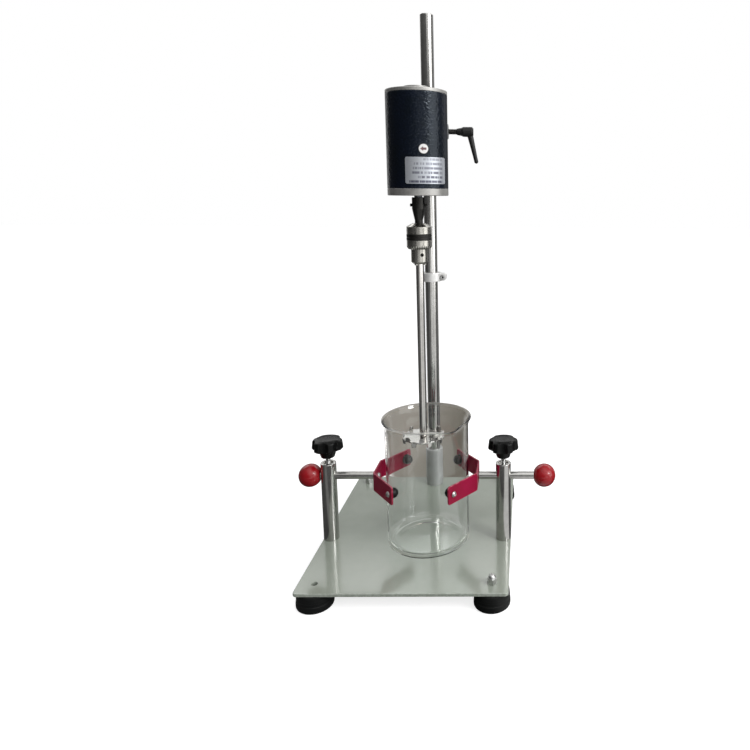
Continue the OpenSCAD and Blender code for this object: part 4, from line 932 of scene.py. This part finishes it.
motor = dict(inner=34.0, outer=37.0, low=489.0, high=601.0, innerRim=0.0, outerRim=0.7)
lowCap = [(7, 480.5, 0.5), (36.99, 480.5, 1.1), (36.99, 489, 0.5), (33.9, 489), (33.9, 494), (16.1, 494),
          (16.1, 484.5), (7, 484.5)]
topCap = [(0, 609.6), (12.4, 609.6, 0.2), (12.8, 610, 0.2), (15.5, 610, 0.7), (15.5, 608, 0.6),
          (36.99, 605, 1.0), (36.99, 601, 0.5), (33.9, 601), (33.9, 590), (14.1, 590), (14.1, 607), (0, 607)]
tie = dict(radius=3.5, height=3.0, socket=3.2, shaft=2.0, length=110)
tieBore = dict(radius=3.55, low=motor["high"], high=620.0, sides=40)
tiePlaces = [(0, 31.4), (0, -31.4)]
bores = [placed(cylinder(**tieBore), (*at, 0)) for at in tiePlaces]
ties = [placed(capScrew(**tie), (*at, motor["high"])) for at in tiePlaces]
motorShell = turned(ringCorners(**motor), 160, ring=True, step=8)
headPiece("motorShell", [motorShell], "shellBlack", "head", ["motor_shell"], "shell_black")
headPiece("lowCap", [turned(lowCap, 160, ring=True)], "capGrey", "head", ["bottom_cap"], "cast_grey")
headPiece("topCap", [turned(topCap, 160)], "capGrey", "head", ["top_cap"], "cast_grey", holes=bores)
headPiece("tieBolts", ties, "zinc", "head", ["tie_bolts"], "zinc_steel")

label = dict(inner=37.02, outer=37.42, edgeDrop=0.08, edgeBand=0.15)
nameplate = dict(arc=82.0, angle=24.0, middle=510.0, height=31.0, corner=2.2, rows=6)
rotationMark = dict(radius=6.25, angle=17.0, middle=535.0)
arrow = dict(ring=5.5, tip=-3.9, slope=0.8, neck=-0.6, half=1.3, end=3.4)


# A thin label bent round the shell: outline rings shrink to the middle in front and behind
def bentLabel(outline, angle, middle, rings, inner, outer, edgeDrop, edgeBand):
    outline = np.vstack([outline, outline[:1]])
    share = np.linspace(0, 1, rings)
    grow = np.r_[share, share[::-1]][:, None, None]
    out = np.r_[np.full(rings, outer), np.full(rings, inner)][:, None]
    out[rings - 1] -= edgeDrop
    grow[rings - 2] = 1 - edgeBand / np.abs(outline).max()
    flat = outline * grow
    turn = math.radians(angle) - quarterTurn + flat[..., 0] / outer
    points = sideBySide(out * np.cos(turn), out * np.sin(turn), middle + flat[..., 1])
    return shellOf(points, flat.copy(), (grow[..., 0] > 0.99) * 1.0)


labelWidth, labelHeight = math.radians(nameplate["arc"]) * label["outer"], nameplate["height"]
halfWidth, halfHeight = labelWidth / 2, labelHeight / 2
labelLine = roundedBox(-halfWidth, halfWidth, -halfHeight, halfHeight, nameplate["corner"], 8)
labelLine, _ = finer(*closedUp(*labelLine), 1.2)
nameShell = bentLabel(labelLine[:-1], nameplate["angle"], nameplate["middle"], 22, **label)
markLine = rotationMark["radius"] * circle(72)
markShell = bentLabel(markLine, rotationMark["angle"], rotationMark["middle"], 10, **label)
finishes["labelSilver"] = makeLabel(nameplate["rows"], labelWidth, labelHeight)
finishes["markWhite"] = makeMark(**arrow)
headPiece("namePlate", [nameShell], "labelSilver", "head", ["nameplate"], "label_silver")
headPiece("rotationMark", [markShell], "markWhite", "head", ["rotation_mark"], "label_white")
print("motor made")


# Clamp with its boss, lug, arm and saddle, saddle screws, lever and its stud

boss = dict(inner=12.65, outer=22.0, low=540.0, high=606.0, innerRim=0.6, outerRim=1.6)
lug = [(4.08, 16), (16, 16), (12.5, 19, 2), (11, 22, 3), (11, 29, 1.4), (4.08, 29, 0.6)]
saddle = dict(inner=37.02, outer=44.0, low=517.0, high=589.0, innerRim=0.4, outerRim=1.6)
saddleCut = 31.45  # from the spindle's axis
arm = dict(half=15.0, low=540.0, top=586.0, corner=4.0, start=10.0, end=125.34, bossAt=16.0, bossFade=6.0,
           saddleAt=120.34, saddleFade=8.0, bossFlare=(4.0, 5.0, 0.0), saddleFlare=(8.0, 1.0, 13.0))
saddleScrew = dict(radius=4.5, height=2.75, socket=3.0, shaft=2.5, length=8)
saddleScrewPlaces = [(angle, z) for angle in (59, 121) for z in (526.0, 580.0)]


# The arm's rounded section grows towards boss and saddle as castings do; flares are (side, up, down)
def castArm(half, low, top, corner, start, end, bossAt, bossFade, saddleAt, saddleFade,
            bossFlare, saddleFlare):
    middle, tall = (top + low) / 2, (top - low) / 2
    section, mark = closedUp(*roundedBox(-half, half, -tall, tall, corner, 7))
    along = np.linspace(start, end, 120)[:, None]
    nearBoss = np.exp(-((along - bossAt).clip(0) / bossFade) ** 1.6)
    nearSaddle = np.exp(-((saddleAt - along).clip(0) / saddleFade) ** 1.6)
    flares = zip(bossFlare, saddleFlare, (half, tall, tall))
    wide, raised, lowered = (1 + (b * nearBoss + s * nearSaddle) / size for b, s, size in flares)
    x = section[:, 0] * wide
    z = middle + section[:, 1] * np.where(section[:, 1] > 0, raised, lowered)
    points = capped(sideBySide(x, -along, z))
    return shellOf(points, sideBySide(lengthAlong(section), points[..., 1]), mark)


# The saddle's ends lie in one plane, so its half angle grows with the radius
def saddleHalf(r):
    return np.arccos(saddleCut / r)


bossShell = turned(ringCorners(**boss), 128, ring=True, step=6)
lugShell = placed(turned(lug, 80, ring=True), (0, 0, leverZ), (1, 0, 0))
saddleShell = ringSector(ringCorners(**saddle), lambda r: quarterTurn - saddleHalf(r),
                         lambda r: quarterTurn + saddleHalf(r))
clampShells = [onClamp(shell) for shell in (bossShell, lugShell, castArm(**arm))] + [onHead(saddleShell)]
makePiece("clampArm", clampShells, "castGrey", "head", ["clamp_arm"], "cast_grey")
screws = []
for angle, z in saddleScrewPlaces:
    out = towards(math.radians(angle))
    screws.append(placed(buttonScrew(**saddleScrew), out * saddle["outer"] + (0, 0, z), out))
headPiece("saddleScrews", screws, "blackSteel", "head", ["saddle_screws"], "black_steel")

lever = dict(x=59.6, drop=46.0, lean=13.0, root=9.0, tip=6.0, tipRound=3.0, taper=1.25, flat=0.86, clear=0.02)
hub = dict(start=41.0, profile=[
    (0, 0), (4.1, 0), (4.5, 0, 0.3), (5.4, 4.6, 1.5), (5.6, 6.6, 0.5), (7.1, 9.6, 1.5), (7.3, 22.6, 1.8),
    (5, 24.6, 0.8), (4.3, 24.6, 0.2), (4.1, 24.1, 0.2), (3.6, 24.1, 0.2), (3.4, 24.5, 0.2), (0, 24.5)])
leverStud = dict(radius=4.0, low=12.85, high=58.0, pitch=1.25, depth=0.55)


# The arm leans outwards on its way down and thins to a round tip
def leverArm(x, drop, lean, root, tip, tipRound, taper, flat, clear):
    share = np.linspace(0, 1, 40)
    outward = x + drop * share * math.tan(math.radians(lean))
    path = sideBySide(outward, 0, leverZ - (drop - clear) * share)
    radius = (root + (tip - root) * np.minimum(share * taper, 1)) / 2
    fromTip = np.clip((1 - share) * drop / tipRound, 0, 1)
    radius = radius * np.sqrt(np.maximum(1 - (1 - fromTip) ** 2, 1e-4))
    return swept(path, circle(72), np.zeros(72), sideBySide(radius * flat, radius), upward=(1, 0, 0))


hubShell = placed(turned(hub["profile"], 72), (hub["start"], 0, leverZ), (1, 0, 0))
stud = placed(threadedRod(**leverStud), (0, 0, leverZ), (1, 0, 0))
makePiece("clampLever", [onClamp(hubShell), onClamp(leverArm(**lever))], "leverPlastic", "clamp_lever",
          ["clamp_lever"], "black_plastic", sharp=50)
makePiece("leverStud", [onClamp(stud)], "blackSteel", "clamp_lever", ["lever_stud"], "zinc_steel")
print("lever made")


# Chuck adapter with slots in its collar, and its set screws

adapter = dict(radius=8.1, top=478.5, slots=6, slotHeight=8.0, slotDepth=2.2, slotHalf=1.3,
               profile=[(5.02, 478.5, 0.3), (8.1, 478.5, 0.5), (8.1, 464.5, 0.6), (5, 450.2, 1.5),
                        (5, 447.2, 0.4), (5, 436.6), (0, 436.6), (0, 461), (5.02, 461)])
grub = dict(start=5.05, z=469.0, pitch=0.7, depth=0.16, threadFrom=1.9,
            profile=[(0, 0), (2, 0), (2, 5.3, 0.4), (1.1, 5.3, 0.1), (1.1, 4.0), (0, 4.0)])
depth, half = adapter["slotDepth"], adapter["slotHalf"]
slotBox = [(-depth, -half), (4, -half), (4, half), (-depth, half)]
slotShell = prism(slotBox, adapter["top"] - adapter["slotHeight"], adapter["top"] + 3, 0.01, 2)
slots = []
for i in range(adapter["slots"]):
    a = (i + 0.5) * fullTurn / adapter["slots"]
    slots.append(placed(slotShell, adapter["radius"] * towards(a), spin=a))
adapterBody = turned(adapter["profile"], 120, ring=True)
headPiece("chuckAdapter", [adapterBody], "blackSteel", "spindle", ["chuck_adapter"], "black_steel",
          holes=slots)


# The thread is a cosine wave that climbs one pitch a turn
def grubThread(angle, r, z):
    wave = 1 + np.cos(fullTurn * z / grub["pitch"] - angle)
    return np.where(r > grub["threadFrom"], r - grub["depth"] * wave, r), z


grubShell = turned(grub["profile"], 40, step=0.2, shape=grubThread)
grubs = [placed(grubShell, (s * grub["start"], 0, grub["z"]), (s, 0, 0)) for s in (1, -1)]
headPiece("setScrews", grubs, "blackSteel", "spindle", ["set_screws"], "zinc_steel")


# Chuck: body with three key holes and dark discs at their floors that paint the shade inside them, toothed
# sleeve and knurled ring

chuckBody = [(5.03, 396.2, 0.2), (8.1, 396.2, 0.5), (10.5, 398.6, 0.9), (10.5, 433.5), (15.5, 433.5, 0.4),
             (15.5, 442.5, 0.9), (8.0, 446.5, 0.5), (5.03, 446.5)]
keyHole = dict(radius=2.25, low=5.3, high=14.0, sides=32)
# Painted shade: a dark disc near each key hole's floor stands in for the shade deep in the hole
keyShadeDisc = [(0, 5.35), (2.2, 5.35), (2.2, 6.2, 0.2), (0, 5.9)]
keyZ, keyAngles = 407.67, (53.0, 173.0, 293.0)
sleeve = dict(low=414.7, teeth=30, toothHeight=4.2, toothDepth=1.5, toothFrom=12.2,
              profile=[(10.56, 414.7), (13.6, 414.7, 0.2), (15.5, 417.3, 0.3), (15.5, 425.7, 0.2),
                       (14.3, 425.7), (14.3, 433.2), (10.56, 433.2)])
ring = dict(grooves=72, depth=0.1, groovesFrom=15.5,
            profile=[(14.35, 425.75), (15.4, 425.75, 0.2), (15.68, 426.2, 0.2), (15.68, 428.9, 0.2),
                     (15.35, 429.2, 0.1), (15.35, 429.7, 0.1), (15.68, 430.0, 0.2), (15.68, 432.8, 0.2),
                     (15.4, 433.15, 0.2), (14.35, 433.15)])


# Gear teeth for the key are cut into the sleeve's lower cone
def sleeveTeeth(angle, r, z):
    wave = 0.5 + 0.5 * np.cos(angle * sleeve["teeth"])
    tall = sleeve["toothHeight"]
    cone = np.clip((sleeve["low"] + tall - z) / tall, 0, 1) * (r > sleeve["toothFrom"])
    return r - sleeve["toothDepth"] * cone * np.clip(wave * 1.6 - 0.3, 0, 1), z


# Upright grooves follow a cosine wave round the ring
def ringGrooves(angle, r, z):
    wave = 1 + np.cos(angle * ring["grooves"])
    return np.where(r > ring["groovesFrom"], r - ring["depth"] * wave, r), z


keyHoles, keyShadeDiscs = [], []
for angle in keyAngles:
    aim = towards(math.radians(angle))
    keyHoles.append(placed(cylinder(**keyHole), (0, 0, keyZ), aim))
    keyShadeDiscs.append(placed(turned(keyShadeDisc, 32), (0, 0, keyZ), aim))
bodyShell = turned(chuckBody, 120, ring=True)
sleeveShell = turned(sleeve["profile"], 240, ring=True, step=0.6, shape=sleeveTeeth)
ringShell = turned(ring["profile"], 288, ring=True, step=0.5, shape=ringGrooves)
# Painted shade: dark discs darken the key holes' floors
headPiece("keyHoleShade", keyShadeDiscs, "blackSteel", "spindle", (), "chuck_steel")
headPiece("chuckBody", [bodyShell], "chuckSteel", "spindle", ["chuck_body"], "chuck_steel", holes=keyHoles)
headPiece("chuckSleeve", [sleeveShell], "chuckSteel", "chuck_sleeve", ["chuck_sleeve"], "chuck_steel",
          sharp=50)
headPiece("chuckRing", [ringShell], "blackSteel", "chuck_sleeve", ["chuck_ring"], "black_steel", sharp=60)


# Stirrer: shaft, disc with teeth bent up and down in turn, washer and nut

shaft = [(0, 161.2), (3.0, 161.2, 0.4), (3.0, 169.8), (5.0, 169.8, 0.4), (5.0, 432.2, 0.4), (0, 432.2)]
disc = dict(inner=3.03, outer=26.6, low=168.2, high=169.8, innerRim=0.0, outerRim=0.3)
tooth = dict(count=16, at=25.4, half=3.8, tall=7.0, turn=18.0, halfThick=0.8, rim=0.25)
washer = dict(inner=3.05, outer=9.75, low=167.0, high=168.19, innerRim=0.0, outerRim=0.3)
discNut = dict(acrossFlats=13.0, profile=[(3.05, 161.0), (3.05, 160.0), (3.6, 159.2, 0.2), (6.1, 159.2, 0.4),
                                          (7.6, 160.4, 0.2), (7.6, 166.2, 0.2), (6.8, 167.0), (3.05, 167.0)])


# One leaning tooth, set round the rim and turned a little out of the tangent
def discTeeth(count, at, half, tall, turn, halfThick, rim):
    corners = [(-half, 0, 0.3), (half, 0, 0.3), (half * 0.55, tall, 0.5), (-half * 0.8, tall, 0.5)]
    flat = prism(filleted(corners, 4, True)[0], -halfThick, halfThick, rim, 3)
    along, up, out = np.split(flat["points"], 3, -1)
    teeth = []
    for i in range(count):
        a = i * fullTurn / count
        t = a + math.radians(turn)
        rise, start = (1, disc["low"]) if i % 2 == 0 else (-1, disc["high"])
        foot = at * towards(a) + (0, 0, start)
        points = foot + along * towards(t + quarterTurn) + up * np.array((0, 0, rise)) + out * towards(t)
        teeth.append(dict(flat, points=points))
    return teeth


discShells = [turned(ringCorners(**disc), ring=True)] + discTeeth(**tooth)
washerShell = turned(ringCorners(**washer), 72, ring=True)
nutShell = turned(discNut["profile"], 96, ring=True, step=0.6, shape=hexed(discNut["acrossFlats"]))
headPiece("stirShaft", [turned(shaft, 64)], "polished", "spindle", ["stir_shaft"], "stainless")
headPiece("disperserDisc", discShells, "polished", "spindle", ["disperser_disc"], "stainless")
headPiece("discNut", [washerShell, nutShell], "zinc", "spindle", ["disc_nut"], "stainless", sharp=28)
print("chuck and stirrer made")


# The CAD nodes that stay take one of the finishes

kept = dict(plate_screws="zinc", column_bush="bronze", magnets="ferrite", brush_plate="phenolic",
            brushes="carbon", upper_bearing="stainless", lower_bearing="stainless", motor_shaft="coreSteel",
            armature_core="coreSteel", armature_winding="copper", commutator="copper",
            cooling_fan="knobPlastic", chuck_jaw_1="chuckSteel", chuck_jaw_2="chuckSteel",
            chuck_jaw_3="chuckSteel")
for node, look in kept.items():
    if not cadNodes[node].material_slots:
        cadNodes[node].data.materials.append(finishes[look])
    for materialSlot in cadNodes[node].material_slots:
        materialSlot.material = finishes[look]
print("kept nodes dressed:", len(kept))


# Floor, light and camera

floorLook = dict(size=8.0, bounce=(0.22, 0.22, 0.22, 1), glossy=(0.08, 0.08, 0.08, 1), glow=0.78,
                 soft=2.0, fade=0.05, sunlit=((57.0, 24.0, 0.8, 0.0), (6.0, 22.0, 0.95, 0.47),
                 (-40.0, 12.0, 0.15, 0.0), (-140.0, 12.0, 0.6, 0.0), (135.0, 8.0, 0.4, 0.0)),
                 throughLeft=tone(160, 154, 145), throughRight=tone(112, 107, 96), throughFade=(-0.12, 0.0))


# A pale floor, white to the camera and warm grey through glass; mirrors see it dark, with the windows' light
# in sectors (middle angle, half angle, level, nearest distance) that end softly over some degrees and metres
def makeFloor(size, bounce, glossy, glow, soft, fade, sunlit, throughLeft, throughRight, throughFade):
    mesh = bpy.data.meshes.new("floor")
    corners = [(-size, -size, 0), (size, -size, 0), (size, size, 0), (-size, size, 0)]
    mesh.from_pydata(corners, [], [(0, 1, 2, 3)])
    floor = bpy.data.objects.new("floor", mesh)
    bpy.context.scene.collection.objects.link(floor)
    material, tree, shader = newMaterial("paleFloor", {"Roughness": 0.9, "Emission Color": (1, 1, 1, 1)})
    seen = addNode(tree, "ShaderNodeLightPath").outputs
    spot = coordinates(tree)["Object"]
    grain = useGroup(mottleGroup, Vector=spot, Scale=400.0,
                     Dark=(0.56, 0.56, 0.56, 1), Light=(0.6, 0.6, 0.6, 1))
    axes = axesOf(spot)
    angle = mathNode("ARCTAN2", axes[0], times(axes[1], -1.0))
    squares = [mathNode("POWER", axes[i], 2.0) for i in (0, 1)]
    distance = mathNode("SQRT", plus(*squares))
    shine = 0.0
    for middle, half, level, nearest in sunlit:
        away = apart(angle, math.radians(middle))
        sector = ranged(away, math.radians(half - soft), math.radians(half + soft), level, 0.0)
        beyond = ranged(distance, nearest - fade, nearest + fade)
        shine = plus(shine, times(sector, beyond))
    through = mixColour(ranged(axes[0], *throughFade), throughLeft, throughRight)
    colour = mixColour(seen["Is Diffuse Ray"], grain["Color"], bounce)
    colour = mixColour(seen["Is Glossy Ray"], colour, glossy)
    colour = mixColour(seen["Is Transmission Ray"], colour, through)
    join(colour, shader.inputs["Base Color"])
    direct, mirroredGlow = times(seen["Is Camera Ray"], glow), times(seen["Is Glossy Ray"], shine)
    join(plus(direct, mirroredGlow), shader.inputs["Emission Strength"])
    mesh.materials.append(material)


makeFloor(**floorLook)

studio = dict(left=0.07, right=0.2, ceiling=0.3, soft=3.0,
              bands=((0.48, 0.58, 0.62, 0.72, 3.2), (0.3, 0.34, 0.39, 0.42, 1.3)),
              windows=((-40.0, 12.0, 0.6, -1.0), (45.0, 8.0, 0.4, -1.0), (150.0, 26.0, 0.9, 0.17)),
              fill=0.3, fillTop=0.5, fillLeft=0.55, fillRight=1.25, through=tone(178, 172, 162))


# The camera sees plain white, glass a warm grey wall, dull surfaces an even fill and mirrors a dim room, with
# bands by height (rise, full, fade, end, glow) and windows (middle angle, half angle, glow, lowest height)
def makeWorld(left, right, ceiling, soft, bands, windows, fill, fillTop, fillLeft, fillRight, through):
    world = bpy.data.worlds.new("studio")
    world.use_nodes = True
    tree = world.node_tree
    tree.nodes.clear()
    x, y, z = axesOf(coordinates(tree)["Generated"])
    seen = addNode(tree, "ShaderNodeLightPath").outputs
    room = plus(ranged(x, -1, 1, left, right), ranged(z, 0.15, 0.9, 0.0, ceiling))
    for rise, full, fade, end, glow in bands:
        band = times(ranged(z, rise, full, 0.0, glow), ranged(z, fade, end, 1.0, 0.0))
        room = plus(room, times(band, ranged(y, 0.1, 0.6)))
    around = mathNode("ARCTAN2", x, y)
    for middle, half, glow, lowest in windows:
        away = apart(around, math.radians(middle))
        pane = ranged(away, math.radians(half - soft), math.radians(half + soft), glow, 0.0)
        room = plus(room, times(pane, ranged(z, lowest, lowest + 0.06)))
    even = ranged(z, 0.1, 0.9, fill, fillTop)
    even = times(even, ranged(x, -0.8, 0.8, fillLeft, fillRight))
    inputs = {0: seen["Is Glossy Ray"], 2: even, 3: room}
    level = addNode(tree, "ShaderNodeMix", inputs, data_type="FLOAT").outputs[0]
    colour = mixColour(seen["Is Transmission Ray"], level, through)
    colour = mixColour(seen["Is Camera Ray"], colour, (1, 1, 1, 1))
    background = addNode(tree, "ShaderNodeBackground", {"Color": colour, "Strength": 1.0})
    join(background.outputs[0], addNode(tree, "ShaderNodeOutputWorld").inputs[0])
    bpy.context.scene.world = world


makeWorld(**studio)

# Angles go round from the front to the right; lift and away are metres
lamps = dict(windowFar=dict(angle=72.0, lift=0.95, away=2.3, wide=1.6, tall=2.4, power=32.0),
             windowNear=dict(angle=30.0, lift=0.16, away=2.5, wide=1.2, tall=0.8, power=5.0),
             spark=dict(angle=55.0, lift=1.5, away=2.3, wide=0.7, tall=0.4, power=20.0),
             overhead=dict(angle=25.0, lift=2.5, away=1.0, wide=3.4, tall=3.4, power=26.0))
lampTarget = (0, 0, 0.4)


# Places a lamp or camera; its axes and its place are the columns of its matrix
def stood(item, right, up, back, place):
    item.matrix_world = Matrix([[right[i], up[i], back[i], place[i]] for i in range(3)] + [[0, 0, 0, 1]])
    bpy.context.scene.collection.objects.link(item)


# A lamp away from the middle at an angle, with its back turned from the target
def makeLamp(name, angle, lift, away, wide, tall, power):
    light = bpy.data.lights.new(name, "AREA")
    light.shape, light.size, light.size_y, light.energy = "RECTANGLE", wide, tall, power
    lamp = bpy.data.objects.new(name, light)
    lamp.visible_transmission = False
    a = math.radians(angle)
    place = np.array((away * math.sin(a), -away * math.cos(a), lift))
    back = unit(place - np.array(lampTarget))
    right = unit(np.cross((0, 0, 1), back))
    stood(lamp, right, np.cross(back, right), back, place)


for name, lamp in lamps.items():
    makeLamp(name, **lamp)

view = dict(lens=30.2205, shift=(-0.2136, -0.1122), yaw=0.0157, pitch=0.1543, roll=0.0065,
            place=(128.30, -818.83, 484.71))


# The line of sight follows yaw and pitch, and roll turns the picture about it
def makeCamera(lens, shift, yaw, pitch, roll, place):
    data = bpy.data.cameras.new("camera")
    data.sensor_width, data.lens = 36.0, lens
    data.shift_x, data.shift_y = shift
    data.clip_start, data.clip_end = 0.01, 100.0
    camera = bpy.data.objects.new("camera", data)
    right = np.array((math.cos(yaw), -math.sin(yaw), 0))
    ahead = np.array((math.sin(yaw) * math.cos(pitch), math.cos(yaw) * math.cos(pitch), -math.sin(pitch)))
    up = np.cross(right, ahead)
    c, s = math.cos(roll), math.sin(roll)
    stood(camera, right * c + up * s, up * c - right * s, -ahead, np.array(place) * mm)
    bpy.context.scene.camera = camera


makeCamera(**view)
bpy.context.scene.view_settings.view_transform = "Standard"
print("studio made")

bpy.context.view_layer.update()
